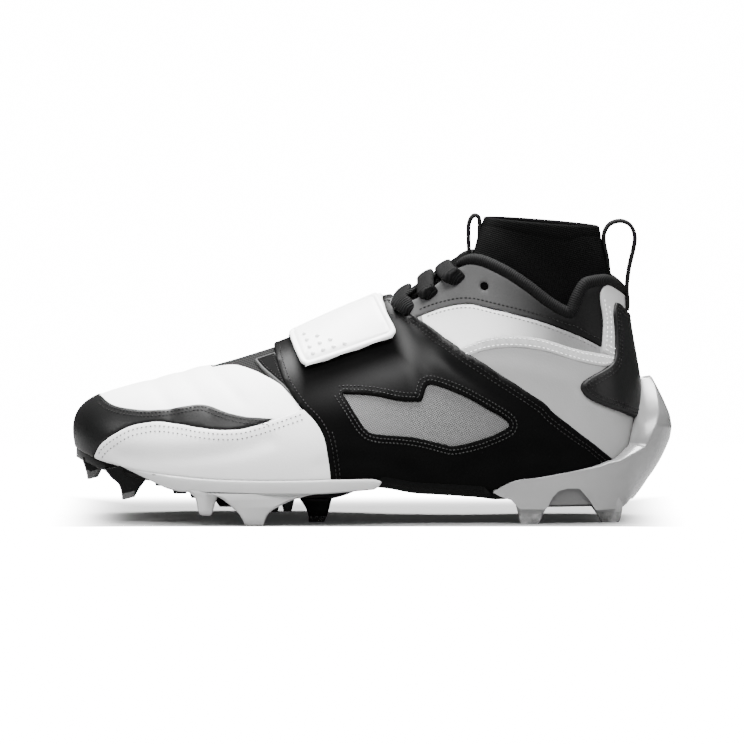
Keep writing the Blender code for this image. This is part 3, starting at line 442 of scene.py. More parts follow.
# %% Finishes that are the same all over
def finish(name, dark, light, roughness, kind="leather", values=(), bump=0.15, depth=0.0004, **more):
    """A material whose colour runs between two tones of the group and whose bump is its height."""
    made = bpy.data.materials.new(name)
    made.use_nodes = True
    tree = made.node_tree
    shader = tree.nodes["Principled BSDF"]
    pattern = tree.nodes.new("ShaderNodeGroup")
    pattern.node_tree = GROUPS[kind]
    for label, value in dict(values).items():
        pattern.inputs[label].default_value = value
    ramp = tree.nodes.new("ShaderNodeMix")
    ramp.data_type = "RGBA"
    ramp.inputs["A"].default_value = (*dark, 1)
    ramp.inputs["B"].default_value = (*light, 1)
    tree.links.new(pattern.outputs["Tone"], ramp.inputs["Factor"])
    tree.links.new(ramp.outputs["Result"], shader.inputs["Base Color"])
    dent = tree.nodes.new("ShaderNodeBump")
    dent.inputs["Strength"].default_value = bump
    dent.inputs["Distance"].default_value = depth
    tree.links.new(pattern.outputs["Height"], dent.inputs["Height"])
    tree.links.new(dent.outputs["Normal"], shader.inputs["Normal"])
    shader.inputs["Roughness"].default_value = roughness
    for label, value in more.items():
        shader.inputs[label.replace("_", " ")].default_value = value
    return made

def grey(value):
    return (value, value, value)

BLACK_LEATHER = finish("black_leather", grey(0.003), grey(0.005), 0.38, values={"Pores": 1000.0}, bump=0.1,
                       Specular_IOR_Level=0.15)
KEEPER_RIM = finish("keeper_rim", grey(0.018), grey(0.028), 0.6, values={"Pores": 1000.0}, bump=0.1)
KEEPER_LEATHER = finish("keeper_leather", grey(0.002), grey(0.004), 0.7, values={"Pores": 1200.0}, bump=0.1,
                        Specular_IOR_Level=0.02)
WHITE_LEATHER = finish("white_leather", grey(0.84), grey(0.90), 0.55, values={"Pores": 900.0}, bump=0.1)
PALE_LEATHER = finish("pale_leather", grey(0.58), grey(0.66), 0.5, values={"Pores": 1000.0}, bump=0.1)
HEEL_LEATHER = finish("heel_leather", grey(0.31), grey(0.36), 0.5, values={"Pores": 1000.0}, bump=0.1)
BAND_LEATHER = finish("band_leather", grey(0.34), grey(0.40), 0.5, values={"Pores": 1000.0}, bump=0.1)
GREY_LEATHER = finish("grey_leather", grey(0.19), grey(0.22), 0.5, values={"Pores": 1200.0}, bump=0.1)
# Painted highlight: the eyestay's grey stands in for top light on its upward face.
STAY_LEATHER = finish("stay_leather", grey(0.06), grey(0.075), 0.48, values={"Pores": 1200.0},
                      Specular_IOR_Level=0.1)
GUSSET_KNIT = finish("gusset_knit", grey(0.001), grey(0.02), 0.8, "weave", {"Pitch": 0.0014, "Tilt": 0.5}, 0.6,
                     Specular_IOR_Level=0.06)
BLACK_KNIT = finish("black_knit", grey(0.0001), grey(0.0016), 0.8, "weave", {"Pitch": 0.0014, "Tilt": 0.5}, 0.6,
                    Specular_IOR_Level=0.03)
WINDOW_MESH = finish("window_mesh", grey(0.003), grey(0.13), 0.7, "weave", {"Pitch": 0.0012, "Tilt": 0.32}, 0.6)
BLACK_PLATE = finish("black_plate", grey(0.0008), grey(0.0018), 0.3, values={"Pores": 300.0}, bump=0.04,
                     Specular_IOR_Level=0.08)
WHITE_PLATE = finish("white_plate", grey(0.36), grey(0.40), 0.26, values={"Pores": 300.0}, bump=0.04)
STRAP_WHITE = finish("strap_white", grey(0.84), grey(0.90), 0.4, values={"Pores": 700.0}, bump=0.05)
# A shade lighter than the black thread: painted highlight for the light specks that black thread catches.
DARK_THREAD = finish("dark_thread", grey(0.006), grey(0.012), 0.6, Specular_IOR_Level=0.2)
BLACK_THREAD = finish("black_thread", grey(0.002), grey(0.006), 0.5, Specular_IOR_Level=0.16)
WHITE_THREAD = finish("white_thread", grey(0.75), grey(0.85), 0.7)
GREY_THREAD = finish("grey_thread", grey(0.10), grey(0.14), 0.7)
print("plain finishes:", len(bpy.data.materials))

# %% [markdown]
# ### Finishes that change over the shoe
#
# The upper quarter runs from white to grey: partly the leather's own tone, partly painted shade. The
# eyestay runs from grey to black, and its grey front is a painted highlight. The saddle's coat is a
# painted highlight at the instep and a painted shadow in a dull strip below the strap's end. These
# effects read the object's own coordinates, so they stay in place when the shoe turns. The gloss
# drives the coat, which an export keeps.

# %% Finishes that change, cords and plastics
def fading(made, start, end, far, axis="X"):
    """Adds a slow change of colour along one axis, from the finish's own tone to another."""
    tree = made.node_tree
    shader = tree.nodes["Principled BSDF"]
    own = shader.inputs["Base Color"].links[0].from_socket
    split = tree.nodes.new("ShaderNodeSeparateXYZ")
    tree.links.new(tree.nodes.new("ShaderNodeTexCoord").outputs["Object"], split.inputs["Vector"])
    mix = tree.nodes.new("ShaderNodeMix")
    mix.data_type = "RGBA"
    mix.inputs["B"].default_value = (*grey(far), 1)
    tree.links.new(slow_step(tree, split.outputs[axis], start * MM, end * MM), mix.inputs["Factor"])
    tree.links.new(own, mix.inputs["A"])
    tree.links.new(mix.outputs["Result"], shader.inputs["Base Color"])
    return made

def painted_sheen_and_shadow(made, full):
    """Painted highlight and painted shadow in the coat: gloss rises towards the instep and is dull in a strip below the
    strap's end.
    """
    tree = made.node_tree
    split = tree.nodes.new("ShaderNodeSeparateXYZ")
    tree.links.new(tree.nodes.new("ShaderNodeTexCoord").outputs["Object"], split.inputs["Vector"])
    x, z = split.outputs["X"], split.outputs["Z"]

    def side_sum(a, b, shift):
        total = math_node(tree, "ADD", math_node(tree, "MULTIPLY", x, a), math_node(tree, "MULTIPLY", z, b))
        return math_node(tree, "ADD", total, shift * MM)

    # The lower edge of the strap's end runs this way in side view, as a unit step in x and z.
    run, climb = 0.954, 0.301
    # Painted highlight: the coat grows with height, towards the top light.
    high = slow_step(tree, z, 52 * MM, 112 * MM)
    # Painted shadow: the coat is dull in a strip below the strap's end, where its shadow falls.
    below_strap = slow_step(tree, side_sum(climb, -run, 86.9), 7 * MM, 19 * MM)
    behind_strap = slow_step(tree, side_sum(run, climb, 9.3), 49 * MM, 56 * MM)
    before_strap = slow_step(tree, side_sum(-run, -climb, -9.3), -2 * MM, 4 * MM)
    clear = math_node(tree, "MAXIMUM", math_node(tree, "MAXIMUM", below_strap, behind_strap), before_strap)
    level = math_node(tree, "MULTIPLY", math_node(tree, "MULTIPLY", high, clear), full)
    tree.links.new(level, tree.nodes["Principled BSDF"].inputs["Coat Weight"])
    return made

SADDLE_LEATHER = finish("saddle_leather", grey(0.0015), grey(0.003), 0.38, values={"Pores": 1000.0}, bump=0.1,
                        Specular_IOR_Level=0.0, Coat_Roughness=0.38)
# The saddle's gloss is painted: a highlight at the instep and a shadow below the strap's end.
SADDLE_LEATHER = painted_sheen_and_shadow(SADDLE_LEATHER, 0.40)
# Partly the leather's own tone, partly painted shade: the quarter fades from white to grey towards the heel.
QUARTER_FADE = finish("quarter_fade", grey(0.78), grey(0.86), 0.5, values={"Pores": 1000.0}, bump=0.1)
QUARTER_FADE = fading(QUARTER_FADE, 58, 100, 0.13)
# Painted highlight: grey at the eyestay's front, fading to black towards the heel.
STAY_LEATHER = fading(STAY_LEATHER, 56, 100, 0.002)
LACE_BRAID = finish("lace_braid", grey(0.0004), grey(0.005), 0.75, "strand", {"Pitch": 0.0011, "Slant": 1.3}, 0.8,
                    Specular_IOR_Level=0.08)
ROLL_RIB = finish("roll_rib", grey(0.0003), grey(0.003), 0.75, "strand", {"Pitch": 0.0011, "Slant": 0.35}, 0.45,
                  Specular_IOR_Level=0.1)
WEBBING = finish("loop_webbing", grey(0.0005), grey(0.003), 0.7, "strand", {"Pitch": 0.0010, "Slant": 1.0}, 0.4,
                 Specular_IOR_Level=0.12)
MILKY = finish("milky_plastic", grey(0.17), grey(0.21), 0.24, values={"Pores": 200.0, "Cloud": 30.0}, bump=0.03,
               Coat_Weight=0.3, Coat_Roughness=0.12)
MILKY = fading(MILKY, 18, 46, 0.14, "Z")
MILKY_DEEP = finish("milky_deep", grey(0.055), grey(0.075), 0.3, values={"Pores": 200.0}, bump=0.03)
CLEAR_TIP = finish("clear_tip", grey(0.06), grey(0.80), 0.08, values={"Pores": 400.0, "Cloud": 330.0}, bump=0.5,
                   Transmission_Weight=0.55, IOR=1.45)
SMOKY_TIP = finish("smoky_tip", grey(0.03), grey(0.10), 0.1, values={"Pores": 400.0, "Cloud": 300.0}, bump=0.3,
                   Transmission_Weight=0.35, IOR=1.45)
print("all finishes:", len(bpy.data.materials))

# %% [markdown]
# ## Creases
#
# Leather that is pulled over a last keeps soft troughs where the foot bends. They could be a bump in
# the material, but then the light would not roll over them, so each one is a given line that presses
# the surface in.

# %% Creases along given lines
# In side view: depth in mm, which is below zero for a ridge, half width in mm, and points in mm.
CREASES = [
    (1.0, 3.4, [(-128, 34.5), (-116, 33.2), (-100, 34.0), (-84, 35.5), (-68, 38.0), (-52, 43)]),
    (-0.5, 4.5, [(-124, 41), (-108, 41), (-92, 42), (-74, 45)]),
    (0.6, 3.5, [(-112, 69), (-104, 60), (-101, 52)]),
    (0.5, 3.0, [(-97, 74), (-88, 65), (-83, 57)]),
    (0.55, 3.0, [(-84, 78), (-74, 70), (-66, 62)]),
    (0.6, 3.0, [(-28, 30), (-14, 34), (2, 33), (20, 28)]),
    (0.5, 3.5, [(40, 24), (60, 33), (80, 37), (100, 36)]),
    (0.6, 3.0, [(26, 96), (36, 84), (52, 72), (70, 62)]),
    (-0.5, 5.0, [(44, 84), (70, 80), (98, 74)]),
]

def segment_gap(points, line):
    """Distance from each point of the plane to a broken line."""
    best = np.full(len(points), 9.0)
    for a, b in zip(line, line[1:]):
        run = b - a
        t = np.clip(((points - a) @ run) / (run @ run), 0, 1)
        best = np.minimum(best, np.linalg.norm(points - a - t[:, None] * run, axis=1))
    return best

def crease_depth(points):
    """How far the creases press each point in, in metres."""
    flat = points[:, [0, 2]] - SHIFT[[0, 2]]
    total = np.zeros(len(points))
    for depth, wide, line in CREASES:
        gap = segment_gap(flat, smooth(np.array(line) * MM / [LENGTH, COLLAR_HEIGHT], 6 * MM)
                          * [LENGTH, COLLAR_HEIGHT])
        total += depth * MM * np.exp(-(gap / (wide * MM)) ** 2)
    return total

print("creases:", len(CREASES), "deepest in mm:", max(depth for depth, _, _ in CREASES))

# %% [markdown]
# ## Moving about on the last
#
# A pattern is flat and the last is curved. These helpers space a line evenly in real millimetres,
# move it sideways across the surface, and tell whether a point lies inside an outline.

# %% Lines and loops on the last
# The rough size of one rib and of the full height, which gives the chart of ribs even units.
CHART = np.array([14.5 * MM, 75 * MM])

def steps_for(sv, way):
    """Rib and height steps that move a point of the last along a direction in space."""
    s, v = sv[:, 0], sv[:, 1]
    e = 0.02
    high, down = np.clip(v + e, 0, 1), np.clip(v - e, 0, 1)
    ds = (skin(s + e, v) - skin(s - e, v)) / (2 * e)
    dv = (skin(s, high) - skin(s, down)) / (high - down)[:, None]
    a, b, c = (ds * ds).sum(1), (ds * dv).sum(1), (dv * dv).sum(1)
    p, q = (ds * way).sum(1), (dv * way).sum(1)
    det = np.maximum(a * c - b * b, 1e-12)
    return np.stack([(p * c - q * b) / det, (q * a - p * b) / det], -1)

def area_of(sv):
    x, y = (sv * CHART).T
    return 0.5 * float(np.sum(x * np.roll(y, -1) - np.roll(x, -1) * y))

def tidy(sv, gap=0.25 * MM):
    """The loop without repeated points, turned anticlockwise as seen from outside."""
    kept = [sv[0]]
    for p in sv[1:]:
        if np.linalg.norm((p - kept[-1]) * CHART) > gap:
            kept.append(p)
    if np.linalg.norm((kept[0] - kept[-1]) * CHART) < gap:
        kept.pop()
    kept = np.array(kept)
    return kept if area_of(kept) > 0 else kept[::-1]

def even(sv, step=1.0 * MM):
    """A loop with its points an even distance apart in space."""
    loop = np.vstack([sv, sv[:1]])
    at = skin(*loop.T)
    length = np.concatenate([[0], np.cumsum(np.linalg.norm(np.diff(at, axis=0), axis=1))])
    count = max(8, int(length[-1] / step))
    want = np.arange(count) * length[-1] / count
    return np.stack([np.interp(want, length, loop[:, k]) for k in (0, 1)], -1)

def inward_line(sv, amount, closed=True):
    """The line moved to its left across the last, by an amount in metres."""
    at = skin(*sv.T)
    run = (np.roll(at, -1, 0) - np.roll(at, 1, 0)) if closed else np.gradient(at, axis=0)
    left = np.cross(normal(*sv.T), run)
    left /= np.maximum(np.linalg.norm(left, axis=1, keepdims=True), 1e-9)
    moved = sv + steps_for(sv, left * amount)
    moved[:, 1] = np.clip(moved[:, 1], 0, 1)
    return moved

def inside(points, loop):
    x, y = points.T
    hit = np.zeros(len(points), bool)
    for (x1, y1), (x2, y2) in zip(loop, np.roll(loop, -1, 0)):
        if y1 != y2:
            hit ^= ((y1 > y) != (y2 > y)) & (x < (x2 - x1) * (y - y1) / (y2 - y1) + x1)
    return hit

def on_ridge(sv):
    around = np.minimum(sv[:, 0] % (2 * HALF), -sv[:, 0] % (2 * HALF))
    return (sv[:, 1] > 1 - 1e-4) & (around <= THROAT_ROW + 0.05)

print("one rib and the full height in mm:", CHART / MM)

# %% [markdown]
# ## Filling a panel
#
# A cut piece of leather has a rounded edge and lies on the one below. Its outline is filled with
# small triangles, a few rows follow the edge closely, and each point is lifted off the last by its
# distance from the edge. So the edge rolls over by shape, with no modifier on a sheet this thin.

# %% Fill one outline
def leather_edge(d, height):
    """Height above the last at a distance from the edge: a skived, rolled edge."""
    return np.interp(d, [0, 0.15 * MM, 0.4 * MM, 0.9 * MM], [-0.25 * MM, 0.55 * height, 0.88 * height, height])

def filled(loop, holes, height, edge, rows, step):
    """Points and triangles of one panel on the last."""
    loops = [loop] + holes
    border = np.concatenate([q[~on_ridge(q)] for q in loops])
    dense = np.concatenate([np.stack([np.interp(np.arange(0, len(q), 0.34), np.arange(len(q) + 1),
                                                np.append(q[:, k], q[0, k])) for k in (0, 1)], -1)
                            for q in loops])
    dense = dense[~on_ridge(dense)]
    tree = kdtree.KDTree(len(dense))
    for k, p in enumerate(skin(*dense.T)):
        tree.insert(p, k)
    tree.balance()

    def gaps(sv):
        return np.array([tree.find(p)[2] for p in skin(*sv.T)])

    extra = []
    for d in rows:
        for q in loops:
            row = inward_line(q, d)[~on_ridge(q)]
            extra.append(row[gaps(row) > 0.8 * d])
    s = np.arange(np.floor(loop[:, 0].min() / step[0]), loop[:, 0].max() / step[0] + 1) * step[0]
    v = np.arange(0, 1 - step[1] / 2, step[1])
    grid = np.stack(np.meshgrid(s, v, indexing="ij"), -1).reshape(-1, 2)
    grid = grid[inside(grid * CHART, loop * CHART)]
    for hole in holes:
        grid = grid[~inside(grid * CHART, hole * CHART)]
    extra.append(grid[gaps(grid) > rows[-1] + 0.5 * MM])
    extra = np.concatenate(extra)
    extra = extra[inside(extra * CHART, loop * CHART)]
    points, edges = [], []
    for q in loops:
        edges += [(len(points) + k, len(points) + (k + 1) % len(q)) for k in range(len(q))]
        points += list(q)
    points = np.array(points + list(extra))
    flat = [Vector(p) for p in points * CHART * 100]
    found = geometry.delaunay_2d_cdt(flat, edges, [], 1, 1e-6, True)
    sv = np.array([tuple(p) for p in found[0]]) / (CHART * 100)
    sv[:, 1] = np.clip(sv[:, 1], 0, 1)
    faces = np.array([f for f in found[2] if len(f) == 3])
    middle = sv[faces].mean(axis=1)
    keep = inside(middle * CHART, loop * CHART)
    for hole in holes:
        keep &= ~inside(middle * CHART, hole * CHART)
    faces = faces[keep]
    flip = np.cross((sv[faces[:, 1]] - sv[faces[:, 0]]), (sv[faces[:, 2]] - sv[faces[:, 0]])) < 0
    faces[flip] = faces[flip][:, ::-1]
    at = skin(*sv.T)
    lift = edge(gaps(sv), height) - crease_depth(at)
    return at + lift[:, None] * normal(*sv.T), faces

print("edge height 0.5 mm from the border, as a share:", round(float(leather_edge(0.5 * MM, MM)) / MM, 2))

# %% [markdown]
# ### Panels as objects
#
# Every piece becomes one mesh object that rides on the shoe's single body. A panel's loops are kept,
# so that its seams can be drawn later at a distance from its edge.

# %% Make a panel
def make_mesh(name, points, faces, material, weld=0.00001, uv=None):
    """A mesh object that rides on the shoe's one body."""
    data = bpy.data.meshes.new(name)
    corners = [tuple(p) for p in np.asarray(points, float)]
    data.from_pydata(corners, [], [tuple(int(k) for k in f) for f in faces])
    if uv is not None:
        layer = data.uv_layers.new(name="strand")
        index = np.empty(len(data.loops), np.int32)
        data.loops.foreach_get("vertex_index", index)
        layer.data.foreach_set("uv", np.asarray(uv, np.float32)[index].reshape(-1))
    if weld:
        work = bmesh.new()
        work.from_mesh(data)
        bmesh.ops.remove_doubles(work, verts=work.verts, dist=weld)
        work.to_mesh(data)
        work.free()
    data.materials.append(material)
    data.shade_smooth()
    obj = bpy.data.objects.new(name, data)
    bpy.context.scene.collection.objects.link(obj)
    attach(obj, "root")
    return obj

def dress(replaces):
    """Hides the CAD nodes that a piece stands for."""
    if replaces:
        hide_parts(*replaces)

PANELS = {}
EDGE_ROWS, GRID_STEP = (0.15 * MM, 0.4 * MM, 0.9 * MM), (0.14, 0.026)

def leather_panel(name, loops, height, material, holes=(), edge=leather_edge, replaces=(),
                  rows=EDGE_ROWS, step=GRID_STEP):
    """One cut piece: loops on the last, filled, lifted and joined along the ridge."""
    points, faces, first = [], [], 0
    loops = [even(tidy(loop)) for loop in loops]
    cut = [even(tidy(hole))[::-1] for hole in holes]
    for loop in loops:
        own = [h for h in cut if inside(h[:1] * CHART, loop * CHART)[0]]
        p, f = filled(loop, own, height * MM, edge, rows, step)
        points.append(p)
        faces.append(f + first)
        first += len(p)
    obj = make_mesh(name, np.concatenate(points), np.concatenate(faces), material)
    PANELS[name] = (loops, cut, height * MM)
    dress(replaces)
    print(f"{name}: {len(obj.data.polygons)} triangles")
    return obj

def half_loop(sv):
    """Trims the ends of a half outline that run along the heel's middle line."""
    sv = sv.copy()
    sv[sv[:, 0] > HALF - 0.06, 0] = HALF
    first = 0
    while first + 1 < len(sv) and sv[first + 1, 0] == HALF:
        first += 1
    last = len(sv) - 1
    while last > 0 and sv[last - 1, 0] == HALF:
        last -= 1
    return sv[first:last + 1]

def both_halves(half, heel=False):
    return np.concatenate([half, other_side(half, heel)])

print("grid inside a panel in mm:", (np.array(GRID_STEP) * CHART / MM).round(2))

# %% [markdown]
# ## Knit shell
#
# Under the leather the shoe has a thin knitted shell that holds the foot. It shows at the gusset in
# front of the strap, so it is a full surface with an inside, not a patch behind a hole.

# %% Knit shell
def shell_grid(lift, ribs=252, rungs=44):
    s, v = np.meshgrid(np.arange(ribs) * 2 * HALF / ribs, np.linspace(0, 1, rungs + 1), indexing="ij")
    at = skin(s, v)
    press = crease_depth(at.reshape(-1, 3)).reshape(s.shape)
    return at + (lift - press)[..., None] * normal(s, v)

def grid_triangles(rows, columns, closed, flip=False):
    faces = []
    for i in range(rows if closed else rows - 1):
        k = (i + 1) % rows
        for j in range(columns - 1):
            a, b = i * columns + j, k * columns + j
            faces.append((a, a + 1, b + 1, b) if flip else (a, b, b + 1, a + 1))
    return faces

outer, inner = shell_grid(0.0), shell_grid(-WALL)
rows, columns = outer.shape[:2]
faces = grid_triangles(rows, columns, True)
faces += [tuple(rows * columns + k for k in f) for f in grid_triangles(rows, columns, True, True)]
for i in range(rows):
    k = (i + 1) % rows
    for j, turned in ((0, True), (columns - 1, False)):
        a, b = i * columns + j, k * columns + j
        ring = (a, b, rows * columns + b, rows * columns + a)
        faces.append(ring[::-1] if turned else ring)
points = np.concatenate([outer.reshape(-1, 3), inner.reshape(-1, 3)])
knit_shell = make_mesh("knit_shell", points, faces, GUSSET_KNIT)
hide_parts("upper")
print("knit shell faces:", len(knit_shell.data.polygons))

# %% [markdown]
# ## Outlines of the leather pieces
#
# The outlines were read from the photo in side view, as shares of the shoe's length and of the
# collar's height. The inner side of this shoe mirrors the outer one, as on the real pair.

# %% Panel outlines
TOE_LINE = [
    (-0.456, 0.456), (-0.430, 0.427), (-0.393, 0.416), (-0.361, 0.416), (-0.318, 0.429),
    (-0.287, 0.439), (-0.270, 0.435), (-0.245, 0.415), (-0.212, 0.399), (-0.187, 0.396),
    (-0.160, 0.392),
]
SIDE_LINE = [
    (-0.462, 0.247), (-0.453, 0.285), (-0.436, 0.318), (-0.404, 0.356), (-0.372, 0.372),
    (-0.351, 0.375), (-0.319, 0.368), (-0.287, 0.356), (-0.251, 0.349), (-0.223, 0.352),
    (-0.196, 0.365), (-0.161, 0.389), (-0.111, 0.427),
]
KNIT_LINE = [
    (-0.266, 0.5745), (-0.234, 0.583), (-0.217, 0.579), (-0.194, 0.564), (-0.168, 0.538),
    (-0.147, 0.512), (-0.128, 0.480), (-0.105, 0.432),
]
SADDLE_FRONT = [
    (-0.197, 0.801), (-0.166, 0.645), (-0.160, 0.595), (-0.1455, 0.513), (-0.120, 0.433),
    (-0.095, 0.376), (-0.081, 0.318), (-0.074, 0.237), (-0.071, 0.176), (-0.071, 0.100),
]
SADDLE_REAR = [
    (0.007, 0.902), (0.030, 0.835), (0.077, 0.761), (0.148, 0.651), (0.179, 0.607),
    (0.281, 0.460), (0.306, 0.409), (0.365, 0.305), (0.400, 0.239), (0.446, 0.146),
]
WINDOW = [
    (-0.049, 0.481), (0.000, 0.475), (0.043, 0.456), (0.072, 0.452), (0.083, 0.456),
    (0.091, 0.505), (0.098, 0.515), (0.128, 0.496), (0.160, 0.465), (0.192, 0.427),
    (0.224, 0.384), (0.228, 0.365), (0.220, 0.349), (0.181, 0.314), (0.138, 0.292),
    (0.121, 0.297), (0.091, 0.314), (0.053, 0.328), (0.006, 0.337), (-0.011, 0.356),
    (-0.026, 0.403),
]
EYESTAY_LINE = [
    (0.061, 0.746), (0.077, 0.761), (0.109, 0.789), (0.141, 0.808), (0.167, 0.811),
    (0.201, 0.796), (0.281, 0.751), (0.344, 0.697), (0.382, 0.652),
]
HEEL_LINE = [(0.382, 0.654), (0.384, 0.746), (0.379, 0.849), (0.392, 0.894), (0.413, 0.961)]
PATCH_LINE = [
    (0.463, 0.568), (0.458, 0.495), (0.448, 0.422), (0.440, 0.382), (0.412, 0.409),
    (0.365, 0.456), (0.348, 0.493), (0.348, 0.518), (0.358, 0.539), (0.388, 0.576),
    (0.400, 0.612), (0.401, 0.696), (0.399, 0.784), (0.407, 0.812), (0.439, 0.737),
    (0.492, 0.721),
]
print("points in the outlines:", sum(len(line) for line in (
    TOE_LINE, SIDE_LINE, KNIT_LINE, SADDLE_FRONT, SADDLE_REAR, WINDOW, EYESTAY_LINE, HEEL_LINE, PATCH_LINE)))

# %% [markdown]
# ### From outline to pattern
#
# A pattern piece ends under its neighbour, not at the line that one sees. So each loop below joins a
# visible line to a hidden one that runs a few millimetres further in.

# %% Cut the front pieces and the saddle
def marked(line, sharp=False, step=1.1 * MM):
    """A side-view line carried to the last, kept sharp at its corners if asked."""
    if sharp:
        line = np.concatenate([np.linspace(a, b, 8, endpoint=False) for a, b in
                               zip(np.array(line)[:-1], np.array(line)[1:])] + [np.array(line)[-1:]])
        return on_last(line)
    return on_last(smooth(line, step))

def rib_of(x, v):
    """The outer rib whose point at height v stands at x."""
    s = np.linspace(0, HALF, 800)
    return float(np.interp(x * LENGTH + SHIFT[0], skin(s, np.full(800, v))[:, 0], s))

toe_top = marked(TOE_LINE)
toe_top[0, 0] = 0
toe_low = marked(SIDE_LINE[:-2])[::-1]
toe_end = float(toe_low[-1, 0])
toe_half = np.concatenate([toe_top, toe_low, lay((toe_end, toe_low[-1, 1]), (toe_end, 0)),
                           lay((toe_end, 0), (0, 0))])
side_top = marked(SIDE_LINE)
side_rear = marked([(x + 0.012, z) for x, z in SADDLE_FRONT[4:]])
side_foot = rib_of(-0.060, 0.0)
side_half = np.concatenate([side_top, side_rear, lay(side_rear[-1], (side_foot, 0)),
                            lay((side_foot, 0), (toe_end, 0)), lay((toe_end, 0), side_top[0])])
vamp_top = on_lifted(smooth(KNIT_LINE), 1.15 * MM)
ridge_end = rib_of(-0.272, 1.0)
vamp_low = marked([(x, z - 0.02) for x, z in TOE_LINE[:-1]] + [(-0.115, 0.405)])[::-1]
vamp_low[-1, 0] = 0
vamp_half = np.concatenate([lay((0, 1), (ridge_end, 1)), lay((ridge_end, 1), vamp_top[0]),
                            vamp_top, vamp_low])
saddle_front = marked(SADDLE_FRONT)
front_ridge = (rib_of(-0.197, 1.0), 1.0)
saddle_foot = (rib_of(-0.071, 0.0), 0.0)
saddle_rear = half_loop(marked(SADDLE_REAR))
throat = (float(THROAT_ROW), 1.0)
saddle_half = np.concatenate([
    lay((HALF, 0), saddle_foot), saddle_front[::-1], lay(front_ridge, throat), lay(throat, saddle_rear[1]),
    saddle_rear[1:]])
print("saddle rear ends at rib", saddle_rear[-1].round(3), "toe end", round(toe_end, 2),
      "ridge end", round(ridge_end, 2))

# %% [markdown]
# ## Leather panels
#
# Each piece laps the one below it by a millimetre or more, as sewn leather does. The height above
# the last sets which one lies on top.

# %% Vamp, toe wrap and side panels
vamp = leather_panel("vamp_leather", [both_halves(vamp_half)], 1.15, WHITE_LEATHER, replaces=["vamp"])
toe_cap = leather_panel("toe_leather", [both_halves(toe_half)], 1.75, BLACK_LEATHER, replaces=["toe_cap"])
for word, loop in (("lateral", side_half), ("medial", other_side(side_half))):
    leather_panel("side_leather_" + word, [loop], 1.95, PALE_LEATHER, replaces=["side_panel_" + word])

# %% [markdown]
# ### Saddle
#
# One wide piece runs over the instep and down both sides. A window is cut in each side and backed
# with open mesh. The leather bridges the hollow beside the ridge, so it is relaxed there.

# %% Saddle with its mesh windows
window = marked(WINDOW)
window_inner = other_side(window, heel=True)
saddle_loop = both_halves(saddle_half, heel=True)
saddle = leather_panel("saddle_leather", [saddle_loop], 2.15, SADDLE_LEATHER, holes=[window, window_inner],
                       replaces=["saddle"])

def ease(obj, centre, reach, turns):
    """Relaxes the leather round one point, so that it bridges a hollow instead of following it."""
    co = np.empty(len(obj.data.vertices) * 3, np.float32)
    obj.data.vertices.foreach_get("co", co)
    co = co.reshape(-1, 3).astype(float)
    pairs = np.empty(len(obj.data.edges) * 2, np.int32)
    obj.data.edges.foreach_get("vertices", pairs)
    pairs = pairs.reshape(-1, 2)
    use = np.bincount(pairs.reshape(-1), minlength=len(co))
    border = np.zeros(len(co), bool)
    loops = np.empty(len(obj.data.loops), np.int32)
    obj.data.loops.foreach_get("edge_index", loops)
    border[pairs[np.bincount(loops, minlength=len(pairs)) == 1].reshape(-1)] = True
    weight = np.zeros(len(co))
    for sign in (-1, 1):
        gap = np.linalg.norm((co - SHIFT) * [1, sign, 1] - np.array(centre) * MM, axis=1) / (reach * MM)
        weight = np.maximum(weight, np.clip(1.3 - gap, 0, 1))
    rim = kdtree.KDTree(int(border.sum()))
    for k, p in enumerate(co[border]):
        rim.insert(p, k)
    rim.balance()
    for k in np.flatnonzero(weight > 0):
        weight[k] *= np.clip((rim.find(co[k])[2] / MM - 1.6) / 4, 0, 1)
    for _ in range(turns):
        total = np.zeros_like(co)
        np.add.at(total, pairs[:, 0], co[pairs[:, 1]])
        np.add.at(total, pairs[:, 1], co[pairs[:, 0]])
        co += 0.5 * weight[:, None] * (total / use[:, None] - co)
    obj.data.vertices.foreach_set("co", co.astype(np.float32).reshape(-1))
    obj.data.update()

ease(saddle, (17, -26, 100), 20, 60)
for word, loop in (("lateral", window), ("medial", window_inner)):
    wide = inward_line(even(tidy(loop)), -1.6 * MM)
    leather_panel("window_mesh_" + word, [wide], 0.8, WINDOW_MESH)

# %% [markdown]
# ### Quarter and heel overlay
#
# Both go round the heel in one piece, so each is drawn on the outer side, turned over for the inner
# one and filled as a single loop. The overlay lies on the quarter, so it is lifted a little more.

# %% Quarter and heel overlay
stay_low = marked(EYESTAY_LINE)
quarter_top = marked(EYESTAY_LINE[1:] + [(0.400, 0.625), (0.430, 0.625), (0.470, 0.625)])
quarter_low = marked([(x - 0.004, z - 0.017) for x, z in SADDLE_REAR[2:]])
quarter_half = half_loop(np.concatenate([quarter_low[::-1], quarter_top]))
quarter = leather_panel("quarter_leather", [both_halves(quarter_half, heel=True)], 1.3, GREY_LEATHER,
                        replaces=["quarter"])
heel_side = marked(HEEL_LINE)
heel_top = (rib_of(0.400, 1.0), 1.0)
heel_low = marked([(0.470, 0.61), (0.430, 0.61), (0.400, 0.61), (0.382, 0.635)])
heel_half = half_loop(np.concatenate([heel_low, heel_side[:-1], lay(heel_side[-2], heel_top),
                                      lay(heel_top, (HALF, 1.0))]))
heel_overlay = leather_panel("heel_leather", [both_halves(heel_half, heel=True)], 1.9, HEEL_LEATHER,
                             replaces=["heel_overlay"])

# %% [markdown]
# ### Eyestay and heel patch
#
# The eyestay carries the laces. It is cut once for each side, and its front end runs on under the
# saddle. One free eyelet is left behind the last lace, backed with black knit. The patch is thick,
# so it stands higher than the leather round it.

# %% Eyestay and heel patch
stay_front = (rib_of(0.010, 1.0), 1.0)
stay_half = np.concatenate([stay_low[::-1], lay(stay_low[0], stay_front),
                            lay(stay_front, (heel_top[0] + 0.2, 1.0)), heel_side[::-1]])
